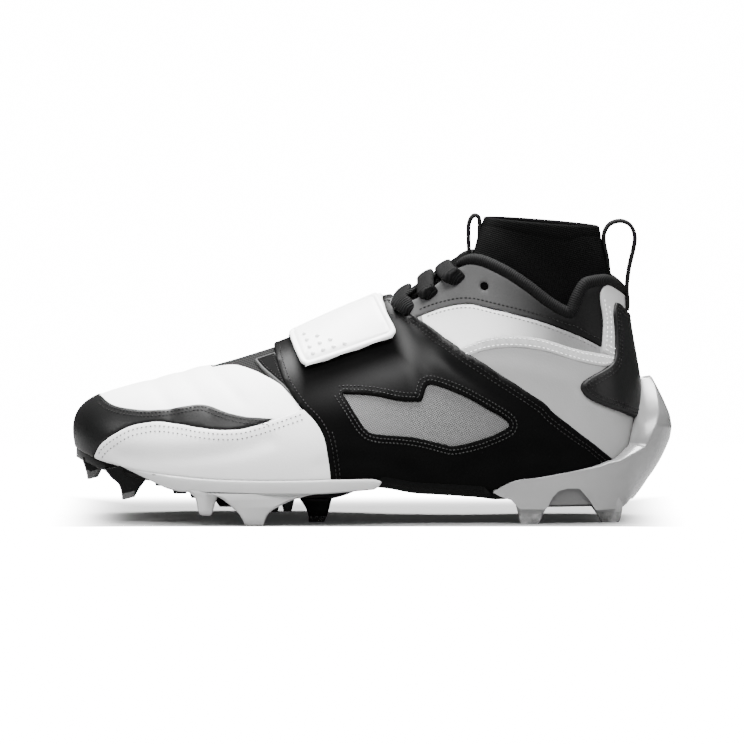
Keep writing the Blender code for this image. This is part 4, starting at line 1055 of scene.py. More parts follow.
# The free eyelet's middle and radius, in mm of the side view.
EYELET_X, EYELET_Z, EYELET_RADIUS = 57.4, 120.9, 2.1
ring = np.linspace(0, 2 * np.pi, 17)
free_eyelet = on_last(share([(EYELET_X + EYELET_RADIUS * math.cos(q), EYELET_Z + EYELET_RADIUS * math.sin(q))
                             for q in ring]))
for word, loop, hole in (("lateral", stay_half, free_eyelet),
                         ("medial", other_side(stay_half, heel=True), other_side(free_eyelet, heel=True))):
    leather_panel("stay_leather_" + word, [loop], 1.75, STAY_LEATHER, holes=[hole], replaces=["eyestay_" + word])
    backing = inward_line(even(tidy(hole), 0.5 * MM), -0.8 * MM)
    leather_panel("eyelet_backing_" + word, [backing], 0.5, BLACK_KNIT)
patch_half = half_loop(marked(PATCH_LINE, step=0.8 * MM))
patch_half = np.concatenate([[(HALF, patch_half[0, 1])], patch_half, [(HALF, patch_half[-1, 1])]])
heel_patch = leather_panel("heel_patch_leather", [both_halves(patch_half, heel=True)], 3.4, BLACK_LEATHER,
                           replaces=["heel_patch"])

# %% [markdown]
# ## Upper quarter
#
# Between the saddle and the eyestay the quarter is white above and grey below. The grey piece laps
# over with a lighter sewn border, so three cut pieces lie on one another here.

# %% White quarter and its border
border_line = share([(43.5, 89.2), (50, 91.8), (56, 94.0), (62.5, 95.5), (69.2, 96.2), (77, 96.0),
                     (85.7, 94.9), (93, 92.8), (101, 90.2), (108, 88.2), (117, 86.2), (124, 84.6)])
border_top = marked(border_line)
white_low = marked([(x, z - 0.02) for x, z in border_line[:-1]])
white_front = marked([(0.144, 0.645), (0.112, 0.695), (0.086, 0.737)])
white_half = np.concatenate([stay_low[6:-1], white_low[::-1], white_front])
for word, loop in (("lateral", white_half), ("medial", other_side(white_half, heel=True))):
    leather_panel("quarter_white_" + word, [loop], 1.5, QUARTER_FADE)
band_end = (border_line[-1][0], border_line[-1][1] - 0.03)
band_low = marked([(x, z - 0.048) for x, z in border_line[:-1]] + [band_end])
band_half = np.concatenate([border_top, band_low[::-1]])
for word, loop in (("lateral", band_half), ("medial", other_side(band_half, heel=True))):
    leather_panel("quarter_band_" + word, [loop], 2.0, BAND_LEATHER)

# %% [markdown]
# ## Strap and its moulded end
#
# The strap crosses the instep and closes under a moulded end with a flat lip, a fine groove inside
# the lip and ten small raised dots near its front corner.

# %% Strap and strap end
strap_front, strap_back = (rib_of(-0.137, 1.0), 1.0), (rib_of(0.012, 1.0), 1.0)

def strap_side(*edges):
    """One side of the strap from its straight edges, closed along the ridge."""
    return np.concatenate([marked(edge, sharp=True) for edge in edges] + [lay(strap_back, strap_front)])

strap_half = strap_side([(-0.132, 0.69), (-0.114, 0.605)], [(-0.106, 0.592), (0.030, 0.690)],
                        [(0.034, 0.707), (0.016, 0.84)])
strap_low = strap_side([(-0.137, 0.60), (-0.100, 0.33)], [(-0.098, 0.325), (0.040, 0.325)],
                       [(0.045, 0.33), (0.060, 0.66)])
strap = leather_panel("closing_strap", [strap_half, other_side(strap_low)], 3.7, STRAP_WHITE, replaces=["strap"])

# Steps in from the strap end's border and the drop below its top at each, in mm.
TAB_STEPS = (0.15, 0.45, 0.9, 2.2, 2.5, 2.8, 3.3)
TAB_DROPS = (0.8, 0.25, 0, 0, 0.7, 0.7, 0.15)
TAB_FOOT, TAB_TOP = 3.9, 0.985
TAB_LINE = [(-0.137, 0.800), (-0.137, 0.700), (-0.1355, 0.672), (-0.1215, 0.606), (-0.1165, 0.590),
            (-0.1095, 0.583), (-0.100, 0.584), (0.022, 0.676), (0.0335, 0.687), (0.0385, 0.700),
            (0.0370, 0.722), (0.013, 0.825)]

def tab_edge(d, height):
    """A flat lip, a groove inside it and a plateau one step lower."""
    return np.interp(d, np.array([0, *TAB_STEPS]) * MM, [TAB_FOOT * MM] + [height - k * MM for k in TAB_DROPS])

tab_side = on_lifted(smooth(TAB_LINE, 0.8 * MM), 3.4 * MM)
tab_side[:, 1] = np.minimum(tab_side[:, 1], TAB_TOP)
tab_front, tab_back = tab_side[0], tab_side[-1]
tab_loop = np.concatenate([tab_side, lay((tab_back[0], TAB_TOP), (tab_front[0], TAB_TOP))])
strap_tab = leather_panel("strap_end", [tab_loop], 5.8, STRAP_WHITE, edge=tab_edge,
                          rows=[k * MM for k in TAB_STEPS], replaces=["strap_tab"])
print("tab ribs", tab_front.round(2), tab_back.round(2))

# %% [markdown]
# ## Keeper piece
#
# A small sewn triangle holds the gusset down at the saddle's front edge. It lies on a slightly
# larger piece in a lighter tone, which shows round it as a thin rim.

# %% Keeper piece
KEEPER_LINE = [(-59.4, 81.6), (-49.0, 85.0), (-43.6, 71.5), (-34.0, 58.0), (-45.4, 70.0), (-55.5, 77.6),
               (-59.4, 81.6)]
keeper = marked(share(KEEPER_LINE), sharp=True)
for word, loop in (("lateral", keeper), ("medial", other_side(keeper))):
    rim = inward_line(even(tidy(loop), 0.6 * MM), -0.7 * MM)
    leather_panel("keeper_rim_" + word, [rim], 1.6, KEEPER_RIM)
    leather_panel("keeper_" + word, [loop], 1.7, KEEPER_LEATHER)

# %% [markdown]
# ## Stitching
#
# Sewn thread is a repeat, so one Geometry Nodes tree makes all of it. It takes a drawn line, sets a
# stitch at each pitch along it, and turns each stitch along the seam. Change the pitch, and every
# row follows.

# %% One tree for every seam
def geometry_tree(name, inputs):
    """A Geometry Nodes tree with named inputs, and its first and last nodes."""
    tree = bpy.data.node_groups.new(name, "GeometryNodeTree")
    for label, kind, value in (("Geometry", "Geometry", None), *inputs):
        socket = tree.interface.new_socket(label, in_out="INPUT", socket_type="NodeSocket" + kind)
        if value is not None:
            socket.default_value = value
    tree.interface.new_socket("Geometry", in_out="OUTPUT", socket_type="NodeSocketGeometry")
    return tree, tree.nodes.new("NodeGroupInput"), tree.nodes.new("NodeGroupOutput")

def made_real(tree, instances, material, out):
    """Ends a tree. An export drops instances, so they become a mesh and get their material."""
    real, paint = tree.nodes.new("GeometryNodeRealizeInstances"), tree.nodes.new("GeometryNodeSetMaterial")
    tree.links.new(instances, real.inputs["Geometry"])
    tree.links.new(real.outputs["Geometry"], paint.inputs["Geometry"])
    tree.links.new(material, paint.inputs["Material"])
    tree.links.new(paint.outputs["Geometry"], out.inputs["Geometry"])

def stitch_tree():
    tree, given, out = geometry_tree("stitch_row", [
        ("Pitch", "Float", 0.0022), ("Stitch Length", "Float", 0.0016), ("Thread Width", "Float", 0.0006),
        ("Thread", "Material", None)])
    node, link = tree.nodes.new, tree.links.new
    seam, spaced = node("GeometryNodeMeshToCurve"), node("GeometryNodeResampleCurve")
    stitch = node("GeometryNodeMeshUVSphere")
    spaced.mode = "LENGTH"
    stitch.inputs["Segments"].default_value = 6
    stitch.inputs["Rings"].default_value = 4
    stitch.inputs["Radius"].default_value = 0.5
    turn, tangent = node("FunctionNodeAlignRotationToVector"), node("GeometryNodeInputTangent")
    turn.axis = "Z"
    size, place = node("ShaderNodeCombineXYZ"), node("GeometryNodeInstanceOnPoints")
    link(given.outputs["Geometry"], seam.inputs["Mesh"])
    link(seam.outputs["Curve"], spaced.inputs["Curve"])
    link(given.outputs["Pitch"], spaced.inputs["Length"])
    link(tangent.outputs["Tangent"], turn.inputs["Vector"])
    for axis, label in (("X", "Thread Width"), ("Y", "Thread Width"), ("Z", "Stitch Length")):
        link(given.outputs[label], size.inputs[axis])
    link(spaced.outputs["Curve"], place.inputs["Points"])
    link(stitch.outputs["Mesh"], place.inputs["Instance"])
    link(turn.outputs["Rotation"], place.inputs["Rotation"])
    link(size.outputs["Vector"], place.inputs["Scale"])
    made_real(tree, place.outputs["Instances"], given.outputs["Thread"], out)
    return tree

STITCH_TREE = stitch_tree()

def run_nodes(obj, tree, values):
    """Puts a node tree on an object, sets its inputs, and keeps the result as a plain mesh."""
    modifier = obj.modifiers.new(tree.name, "NODES")
    modifier.node_group = tree
    for socket in tree.interface.items_tree:
        if socket.item_type == "SOCKET" and socket.in_out == "INPUT" and socket.name in values:
            modifier[socket.identifier] = values[socket.name]
    graph = bpy.context.evaluated_depsgraph_get()
    made = bpy.data.meshes.new_from_object(obj.evaluated_get(graph))
    obj.modifiers.remove(modifier)
    obj.data = made
    made.shade_smooth()

print("nodes in the stitch tree:", len(STITCH_TREE.nodes))

# %% [markdown]
# ### Where the seams run
#
# A sewing machine is guided along the edge of the leather, so most seams are a panel's own edge
# moved inwards. A seam on one edge only is drawn from the marked line instead.

# %% Seam lines
THREAD_LIFT = 0.12

def seam_line(panel, inset, hole=None, drop=None):
    """A line on a panel at a distance inside its edge, as points in space."""
    loops, holes, height = PANELS[panel]
    sv = holes[hole] if hole is not None else loops[0]
    row = inward_line(sv, inset * MM)
    keep = ~on_ridge(sv) & (row[:, 1] > 0.02)
    at = skin(*row.T)
    if drop is not None:
        keep &= ~drop(at, row)
    border = skin(*sv[~on_ridge(sv)].T)
    for k in np.flatnonzero(keep):
        keep[k] = np.linalg.norm(border - at[k], axis=1).min() > 0.85 * inset * MM
    at = at + (height + THREAD_LIFT * MM - crease_depth(at))[:, None] * normal(*row.T)
    lines, run = [], []
    order = list(range(len(at)))
    start = next((k for k in order if not keep[k]), 0)
    for k in order[start:] + order[:start]:
        if keep[k] and (not run or np.linalg.norm(at[k] - run[-1]) < 5 * MM):
            run.append(at[k])
        else:
            if len(run) > 3:
                lines.append(np.array(run))
            run = [at[k]] if keep[k] else []
    if len(run) > 3:
        lines.append(np.array(run))
    return lines

def sew(name, lines, thread, pitch, length, width):
    """Rows of thread along drawn lines, with pitch, stitch length and thread width in mm."""
    points, edges = [], []
    for line in lines:
        edges += [(len(points) + k, len(points) + k + 1) for k in range(len(line) - 1)]
        points += [tuple(p) for p in line]
    data = bpy.data.meshes.new(name)
    data.from_pydata(points, edges, [])
    obj = bpy.data.objects.new(name, data)
    bpy.context.scene.collection.objects.link(obj)
    run_nodes(obj, STITCH_TREE, {"Pitch": pitch * MM, "Stitch Length": length * MM, "Thread Width": width * MM,
                                 "Thread": thread})
    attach(obj, "root")
    print(f"{name}: {len(obj.data.polygons)} faces")
    return obj

def edge_seam(sv, amount, height, heel=False, trim=3):
    """The same seam on both sides of the shoe, at an amount to the left of a marked line."""
    lines = []
    for line, move in ((sv, amount), (other_side(sv, heel), amount)):
        row = inward_line(line, move * MM, closed=False)[trim:-trim]
        row = row[row[:, 1] < 0.985]
        at = skin(*row.T)
        lines.append(at + ((height + THREAD_LIFT) * MM - crease_depth(at))[:, None] * normal(*row.T))
    return lines

print("thread lies above the leather by mm:", THREAD_LIFT)

# %% [markdown]
# ### Sew the shoe
#
# Thread is light on the white leather and black on the black. Double rows hold the pieces that take
# the load: toe wrap, side panels, saddle, windows and heel.

# %% Sew the seams
toe_lines = edge_seam(toe_top, -2.0, 1.75) + edge_seam(toe_top, -4.0, 1.75)
sew("toe_stitching", toe_lines, BLACK_THREAD, 2.0, 1.5, 0.55)
side_lines = edge_seam(side_top, -2.6, 1.95) + edge_seam(side_top, -5.4, 1.95)
sew("side_stitching", side_lines, GREY_THREAD, 2.4, 1.0, 0.75)
saddle_lines = (edge_seam(saddle_front[2:-7], 3.4, 2.15, trim=2) + edge_seam(saddle_front[-30:-7], 5.4, 2.15, trim=2)
                + edge_seam(saddle_rear[2:], -3.2, 2.15, True) + edge_seam(saddle_rear[2:], -5.2, 2.15, True))
sew("saddle_stitching", saddle_lines, BLACK_THREAD, 2.2, 1.6, 0.6)
keeper_lines = seam_line("keeper_lateral", 1.7) + seam_line("keeper_medial", 1.7)
sew("keeper_stitching", keeper_lines, BLACK_THREAD, 1.8, 1.2, 0.5)
window_lines = []
for hole in (0, 1):
    window_lines += seam_line("saddle_leather", 2.2, hole=hole) + seam_line("saddle_leather", 4.2, hole=hole)
# The window thread's lighter tone is a painted highlight.
sew("window_stitching", window_lines, DARK_THREAD, 1.9, 1.4, 0.7)
sew("stay_stitching", edge_seam(stay_low[4:], 3.2, 1.75, True), BLACK_THREAD, 2.2, 1.6, 0.7)
sew("under_stay_stitching", edge_seam(stay_low[6:], -1.8, 1.5, True), GREY_THREAD, 2.2, 1.3, 0.6)
band_lines = []
for word in ("lateral", "medial"):
    for inset in (1.7, 4.2):
        band_lines += seam_line("quarter_band_" + word, inset, drop=lambda at, row: at[:, 0] - SHIFT[0] < 48 * MM)
sew("quarter_stitching", band_lines, WHITE_THREAD, 2.3, 1.5, 0.6)
patch_lines = seam_line("heel_patch_leather", 2.4) + seam_line("heel_patch_leather", 4.2)
sew("patch_stitching", patch_lines, BLACK_THREAD, 2.0, 1.4, 0.55)
heel_lines = (seam_line("heel_leather", 2.2, drop=lambda at, row: row[:, 1] > 0.92)
              + seam_line("heel_leather", 4.8, drop=lambda at, row: row[:, 1] > 0.88))
sew("heel_stitching", heel_lines, WHITE_THREAD, 2.3, 1.4, 0.6)

# %% [markdown]
# ## Moulded bodies
#
# Plates and studs are injection moulded, so they are clean bodies with small chamfers and drafted
# sides. Each is lofted through rounded rings whose ends were read from the side view.

# %% Helpers for moulded bodies
def ring_faces(rows, count, caps=True):
    """Faces between rows of rings with count points each, closed at both ends if asked."""
    faces = []
    for i in range(rows - 1):
        for k in range(count):
            m = (k + 1) % count
            faces.append((i * count + k, i * count + m, (i + 1) * count + m, (i + 1) * count + k))
    if caps:
        faces.append(tuple(range(count))[::-1])
        faces.append(tuple((rows - 1) * count + k for k in range(count)))
    return faces

def facing_out(points, faces):
    """Turns a closed body's faces outward by the sign of its volume."""
    points = np.asarray(points, float)
    volume = 0.0
    for f in faces:
        a = points[f[0]]
        for b, c in zip(f[1:-1], f[2:]):
            volume += np.dot(a, np.cross(points[b], points[c]))
    return faces if volume > 0 else [tuple(f[::-1]) for f in faces]

def moulded(name, bodies, materials, replaces=(), sharp=28):
    """One object from closed bodies: points, faces, and a rule that picks each face's material."""
    points, faces, paint = [], [], []
    for body_points, body_faces, pick in bodies:
        body_faces = facing_out(body_points, body_faces)
        for f in body_faces:
            middle = np.mean([body_points[k] for k in f], axis=0)
            paint.append(pick(middle))
            faces.append(tuple(len(points) + k for k in f))
        points += [tuple(q) for q in body_points]
    obj = make_mesh(name, points, faces, materials[0], weld=None)
    for extra in materials[1:]:
        obj.data.materials.append(extra)
    obj.data.polygons.foreach_set("material_index", paint)
    obj.data.shade_smooth()
    obj.data.set_sharp_from_angle(angle=math.radians(sharp))
    dress(replaces)
    print(f"{name}: {len(faces)} faces")
    return obj

def stud_body(levels, corner=0.24, lean=0.0):
    """Rounded rings from root to tip. Each level is z, x from, x to, y outer, y inner, in mm."""
    rings = []
    for z, x0, x1, y0, y1 in levels:
        cx, cy, hx, hy = (x0 + x1) / 2, (y0 + y1) / 2, (x1 - x0) / 2, (y1 - y0) / 2
        c = corner * min(abs(hx), abs(hy)) * 2
        ring = []
        for sx, sy, turn in ((1, 1, 0), (-1, 1, 90), (-1, -1, 180), (1, -1, 270)):
            for q in (0, 45, 90):
                angle = math.radians(turn + q)
                ring.append(((cx + sx * (abs(hx) - c) + c * math.cos(angle)) * MM,
                             (cy + sy * (abs(hy) - c) + c * math.sin(angle)) * MM, (z + lean * (sx * abs(hx))) * MM))
        rings += ring
    return rings, ring_faces(len(levels), 12)

def smooth_levels(levels, count=16):
    """More rings between the given ones, so a stud's flare curves."""
    levels = np.array(levels, float)
    t = np.linspace(0, len(levels) - 1, count)
    return np.stack([np.interp(t, np.arange(len(levels)), levels[:, k]) for k in range(levels.shape[1])], -1)

def station(x):
    """The outer rib number whose sole line stands at x, in mm of the side view."""
    s = np.linspace(0, HALF, 900)
    return float(np.interp(x * MM + SHIFT[0], foot(s)[:, 0], s))

X0 = SHIFT[0] / MM
print("zero of the side view stands at x in mm:", round(float(X0), 2))

# %% [markdown]
# ## Black plate
#
# The black plate runs from the toe to the arch, with a thicker pod under the ball. Its studs have
# smoky clear tips, and small lugs fill the space between them.

# %% Black plate
def plate_rings(stations, out, top_gap, depth):
    rings = []
    for s in stations:
        x = foot(s)[0] / MM - X0
        wide = out + np.interp(x, [-4, 6, 58, 63, 74], [0, 1.3, 1.3, -2.6, -5]) * MM
        a, b = foot(s) + wide * outward(s), foot(2 * HALF - s) + wide * outward(2 * HALF - s)
        top = foot(s)[2] - top_gap + np.interp(x, [-4, 6], [0, 1.9]) * MM
        deep = depth(x) + np.interp(x, [-4, 6, 62, 74], [0, 1.9, 1.9, -0.6]) * MM
        for t, z in ((0, top), (-0.002, top - 0.45 * deep), (0.02, top - 0.88 * deep), (0.07, top - deep),
                     (0.3, top - deep - 0.3 * MM), (0.5, top - deep - 0.4 * MM), (0.7, top - deep - 0.3 * MM),
                     (0.93, top - deep), (0.98, top - 0.88 * deep), (1.002, top - 0.45 * deep), (1, top)):
            p = a + (b - a) * t
            rings.append((p[0], p[1], z))
    return rings, ring_faces(len(stations), 11)

def always(k):
    return lambda middle: k

def below(height):
    return lambda middle: 1 if middle[2] < height * MM else 0

def plate_depth(x):
    return np.interp(x, [-150, -120, -60, 70], [4.6, 4.4, 4.2, 4.2]) * MM

front_stations = np.concatenate([[0.03, 0.12, 0.25, 0.4], np.linspace(0.6, station(73.5), 70)])
bodies = [(*plate_rings(front_stations, 1.2 * MM, GAP, plate_depth), always(0))]
pod = []
for x in np.linspace(-64, -2, 24):
    s = station(x)
    a, b = foot(s), foot(2 * HALF - s)
    deep = np.interp(x, [-64, -54, -20, -12, -2], [5, 10.8, 11.6, 9.5, 5.0]) * MM
    half = np.interp(x, [-64, -50, -20, -2], [0.30, 0.33, 0.33, 0.26])
    for t, z in ((0.5 - half - 0.03, 3.0), (0.5 - half, 0.9), (0.5 - 0.7 * half, 1.0), (0.5, 0.94),
                 (0.5 + 0.7 * half, 1.0), (0.5 + half, 0.9), (0.5 + half + 0.03, 3.0)):
        p = a + (b - a) * t
        pod.append((p[0], p[1], foot(s)[2] - (z * MM if z > 2 else z * deep)))
bodies.append((pod, ring_faces(24, 7), always(0)))
FRONT_STUDS = [
    [(33, -149, -136, 0, 11), (28.5, -147.6, -137.2, 0.8, 10), (25, -146.6, -138.4, 1.5, 9), (21.2, -146, -140.6, 2, 8)],
    [(30, -137, -111, 0, 12), (24.5, -133, -113.2, 0.8, 11), (21, -129.3, -115, 1.5, 10), (17, -128.1, -118.4, 2, 9),
     (12.4, -127.6, -121.2, 2.5, 8)],
    [(24, -44, -14, 0, 13), (12, -37, -20.5, 1, 11), (8, -34.2, -21.6, 1.8, 10), (4, -32.6, -22.6, 2.3, 9),
     (0.1, -32.3, -24.4, 2.7, 8.2)],
    [(20, -86, -66, 0, 12), (13, -82, -67, 1, 11), (7.4, -78, -69.5, 2, 9)],
]
for number, levels in enumerate(FRONT_STUDS):
    outer_y, inner_y = ((-7, 15), (-28, 29), (-26, 14), (-19, 13))[number]
    for y in (outer_y, inner_y):
        own = [(z, a + X0, b + X0, y + p, y + q) for z, a, b, p, q in levels]
        tip = (25.6, 15.5, 3.2, 8.6)[number]
        bodies.append((*stud_body(smooth_levels(own, 12), lean=0.18 if number < 2 else 0.0), below(tip)))
LUGS = [(-111, -103, 19.6, 22.5), (-102, -93.5, 15.6, 20), (-93, -88, 13.4, 18), (-60, -54, 8.0, 14), (-54, -47, 6.2, 13),
        (-46, -40, 6.6, 13)]
for a, b, z, root in LUGS:
    for y in (-33, -12, 10, 30):
        bodies.append((*stud_body([(root + 3, a - 1.5 + X0, b + 1.5 + X0, y - 5, y + 5), (z, a + 1 + X0, b - 1 + X0, y - 3.6, y + 3.6)]),
                       always(0)))
plate = moulded("black_plate", bodies, [BLACK_PLATE, SMOKY_TIP], replaces=["outsole"])

# %% [markdown]
# ## White edge rails
#
# Each rail wraps the plate's edge under the ball, thins out towards the toe, ends in a rounded tip
# at the arch and carries two studs.

# %% Edge rails
RAIL_UNDER = ([-129, -124, -113.6, -103.8, -97, -60, -32.4, -22.6, 0.5, 3.0, 4.8],
              [29.2, 27.4, 22.8, 18.5, 17.0, 16.4, 16.4, 16.8, 18.6, 20.0, 22.2])
RAIL_WIDE = ([-129, -122, -110, -96, 0, 3.4, 4.8], [0.7, 1.7, 3.0, 4.7, 4.7, 3.9, 1.8])
for word, sign in (("lateral", -1), ("medial", 1)):
    rings = []
    stops = np.concatenate([np.linspace(-129, -2, 70), np.linspace(-0.5, 4.8, 12)])
    for x in stops:
        s = station(x) if sign < 0 else 2 * HALF - station(x)
        base, out = foot(s), outward(s)
        under, wide = np.interp(x, *RAIL_UNDER) * MM, np.interp(x, *RAIL_WIDE) * MM
        end = np.interp(x, [0, 3.4, 4.8], [0, 0.6, 1.6]) * MM
        top = base[2] + 0.2 * MM - end
        thick = max(top - under, 0.8 * MM)
        for o, z in ((0.4 * MM, top), (0.72 * wide, top), (0.93 * wide, top - 0.09 * thick), (wide, top - 0.24 * thick),
                     (0.96 * wide, top - 0.6 * thick), (0.84 * wide, top - 0.9 * thick), (0.62 * wide, top - thick),
                     (-9 * MM, top - thick), (-9 * MM, top - 0.5 * thick), (0.4 * MM, top - 0.3 * thick)):
            rings.append((base[0] + o * out[0], base[1] + o * out[1], z))
    bodies = [(rings, ring_faces(len(stops), 10), always(0))]
    edge = abs(foot(station(-59) if sign < 0 else 2 * HALF - station(-59))[1]) / MM + 3.4
    front = abs(foot(station(-84) if sign < 0 else 2 * HALF - station(-84))[1]) / MM + 3.2
    for own, side in (([(16.6, -84, -27, 0.0, 15), (15.4, -79.5, -33, -0.2, 15), (13.4, -75.8, -40, 0.0, 14.6), (11.2, -73, -44.6, 0.3, 14),
                        (9.0, -70.4, -49, 0.6, 13), (7.0, -68.4, -51.8, 0.9, 12), (5.2, -67, -53.3, 1.2, 11),
                        (2.6, -65.5, -54.4, 1.8, 10), (0.5, -64.6, -55, 2.5, 9.2), (0.02, -64.0, -55.6, 3.0, 8.8)], edge),
                      ([(18, -95, -72, 0.0, 14), (16, -92, -76.5, 0, 13.6), (14.2, -90, -78.6, 0.3, 13), (11, -89, -79.8, 0.7, 12),
                        (7.4, -88.5, -80.8, 1.2, 11), (5.6, -87.6, -81.4, 1.8, 9.6), (5.0, -86.6, -82.2, 2.4, 9.0)], front)):
        levels = [(z, a + X0, b + X0, sign * (side - p), sign * (side - q)) for z, a, b, p, q in own]
        levels = [(z, a, b, min(p, q), max(p, q)) for z, a, b, p, q in levels]
        bodies.append((*stud_body(smooth_levels(levels, 22), corner=0.2), always(0)))
    moulded(word + "_edge_rail", bodies, [WHITE_PLATE], replaces=[word + "_rail"], sharp=35)

# %% [markdown]
# ## Milky heel cup
#
# The heel plate climbs the back of the heel as a cup with a keel. It is milky and half clear: its
# gussets catch the light, and the stud tips are clear.

# %% Heel cup
CUP_LIFT, CUP_WALL, FLARE = 2.5 * GAP + PANEL, 1.8 * MM, 13.2 * MM
FLARE_UP = ([0, 0.1, 0.2, 0.28, 0.33, 0.38, 0.46, 0.56, 0.66, 0.72], [0.15, 0.35, 0.68, 0.93, 1, 0.93, 0.68, 0.36, 0.1, 0])
FLARE_ROUND = ([17, 17.6, 18.2, 18.8, 19.4, 20, 20.5, 21], [0, 0.03, 0.12, 0.28, 0.50, 0.76, 0.93, 1])
CUP_LINE = [(0.202, 0.126), (0.238, 0.164), (0.277, 0.176), (0.330, 0.197), (0.368, 0.216), (0.398, 0.237),
            (0.425, 0.290), (0.441, 0.342), (0.451, 0.422), (0.460, 0.495), (0.466, 0.560)]
SKIRT_LOW = ([61.5, 65, 71, 75, 88.6, 91.5, 94.5, 99, 104.5, 109, 112.3, 123, 125.5, 127.5, 140],
             [17.0, 15, 13, 8.5, 8.4, 14.5, 18.0, 19.2, 19.2, 13.5, 7.9, 8.5, 11.0, 13.4, 13.4])
cup_edge = marked(CUP_LINE)
order = np.argsort(cup_edge[:, 0])
cup_first = float(cup_edge[order[0], 0])
print("cup from rib", round(cup_first, 2))
ribs = np.concatenate([np.linspace(cup_first, 20.0, 60), np.linspace(20.03, HALF, 24)])
ribs = np.concatenate([ribs, (2 * HALF - ribs[:-1])[::-1]])
near = np.minimum(ribs, 2 * HALF - ribs)
top_v = np.interp(near, cup_edge[order, 0], np.maximum.accumulate(cup_edge[order, 1]))
fin_from = float(np.interp(20.0, near[:84], top_v[:84]))
top_v = np.where(near > 20.0, np.interp(near, [20.0, HALF], [fin_from, CUP_LINE[-1][1]]), top_v)
lift_at = lambda s, v: CUP_LIFT + CUP_WALL + FLARE * np.interp(v, *FLARE_UP) * np.interp(
    np.minimum(s, 2 * HALF - s), *FLARE_ROUND)
rungs = np.concatenate([[0, 0.015], np.linspace(0.04, 0.98, 42), [1.0]])
rings = []
for s, high in zip(ribs, top_v):
    base = foot(s)
    want = np.interp(base[0] / MM - X0, *SKIRT_LOW) * MM
    rise = (skin(s, 0.3)[2] - base[2]) / 0.3
    low_v = np.clip((want - base[2]) / rise, 0, 0.8 * high)
    drop = max(base[2] - want, 0)
    v = low_v + (high - low_v) * rungs
    ss = np.full(len(v), s)
    out = skin(ss, v) + lift_at(ss, v)[:, None] * normal(ss, v)
    out[:, 2] -= drop * (1 - rungs) ** 6
    out[-1] -= 0.5 * MM * normal(s, v[-1])
    back = skin(ss, v) + CUP_LIFT * normal(ss, v)
    back[:, 2] -= drop * (1 - rungs) ** 6
    rings += list(out) + list(back[::-1])
bodies = [(rings, ring_faces(len(ribs), 2 * len(rungs)), always(0))]
tray = []
tray_ribs = np.concatenate([np.linspace(station(66), HALF - 0.04, 46)])
for s in tray_ribs:
    a, b = s, 2 * HALF - s
    high = np.interp(foot(s)[0] / MM - X0, [66, 90, 130], [0.02, 0.09, 0.09])
    (p, m), (q, n) = [[skin(r, k) + 2.75 * MM * normal(r, k) for k in (high, high / 2)] for r in (a, b)]
    c, d = foot(a) + 2.6 * MM * outward(a), foot(b) + 2.6 * MM * outward(b)
    deep = np.interp(foot(s)[0] / MM - X0, [62, 70, 84, 128], [1.2, 2.4, 4.4, 4.4]) * MM
    for point, z in ((p, p[2]), (m, m[2]), (c, c[2]), (c, c[2] - 0.7 * deep), (c + 0.06 * (d - c), c[2] - deep),
                     (c + 0.94 * (d - c), d[2] - deep), (d, d[2] - 0.7 * deep), (d, d[2]), (n, n[2]), (q, q[2])):
        tray.append((point[0], point[1], z))
bodies.append((tray, ring_faces(len(tray_ribs), 10), always(2)))
HEEL_FRONT = [(20, 66, 97, 0, 15), (17, 69.5, 94.6, 0, 14.6), (14.5, 71.4, 92.4, 0.2, 14.2), (12, 72.4, 90.8, 0.6, 13.8),
              (8.4, 73.6, 88.9, 1.2, 12.8), (5, 74.6, 87, 1.8, 11.8), (2, 75, 85.9, 2.4, 10.8), (0.02, 75.6, 84.8, 2.9, 10.2)]
HEEL_REAR = [(20.5, 104, 122, 2.6, 14), (18, 105.4, 124.4, 1.6, 14.2), (14, 108, 126.8, 0.9, 14), (10, 110.6, 127.8, 1.1, 13),
             (7, 112.8, 128, 1.6, 12), (4, 114.8, 127.4, 2.1, 11.2), (1.4, 116.2, 126.8, 2.6, 10.6), (0.02, 117, 126, 3.0, 10.2)]
for sign in (-1, 1):
    for own, middle in ((HEEL_FRONT, 80), (HEEL_REAR, 120)):
        s = station(middle) if sign < 0 else 2 * HALF - station(middle)
        side = abs(foot(s)[1]) / MM + 3.6
        side = max(side, 34.5) if middle == 80 else max(side, 27.0)
        levels = [(z, a + X0, b + X0, min(sign * (side - p), sign * (side - q)), max(sign * (side - p), sign * (side - q)))
                  for z, a, b, p, q in own]
        bodies.append((*stud_body(smooth_levels(levels, 18), corner=0.18), below(5.6)))
heel_cup = moulded("milky_heel_cup", bodies, [MILKY, CLEAR_TIP, MILKY_DEEP], replaces=["heel_cup"], sharp=55)

# %% [markdown]
# ## Tongue and insole
#
# Both are soft and mostly hidden. The tongue arches up through the throat and fills it behind the
# laces, and the insole lies loose on the plate inside the shell.

# %% Tongue and insole
TONGUE_LIFT = -(WALL + 9 * GAP)

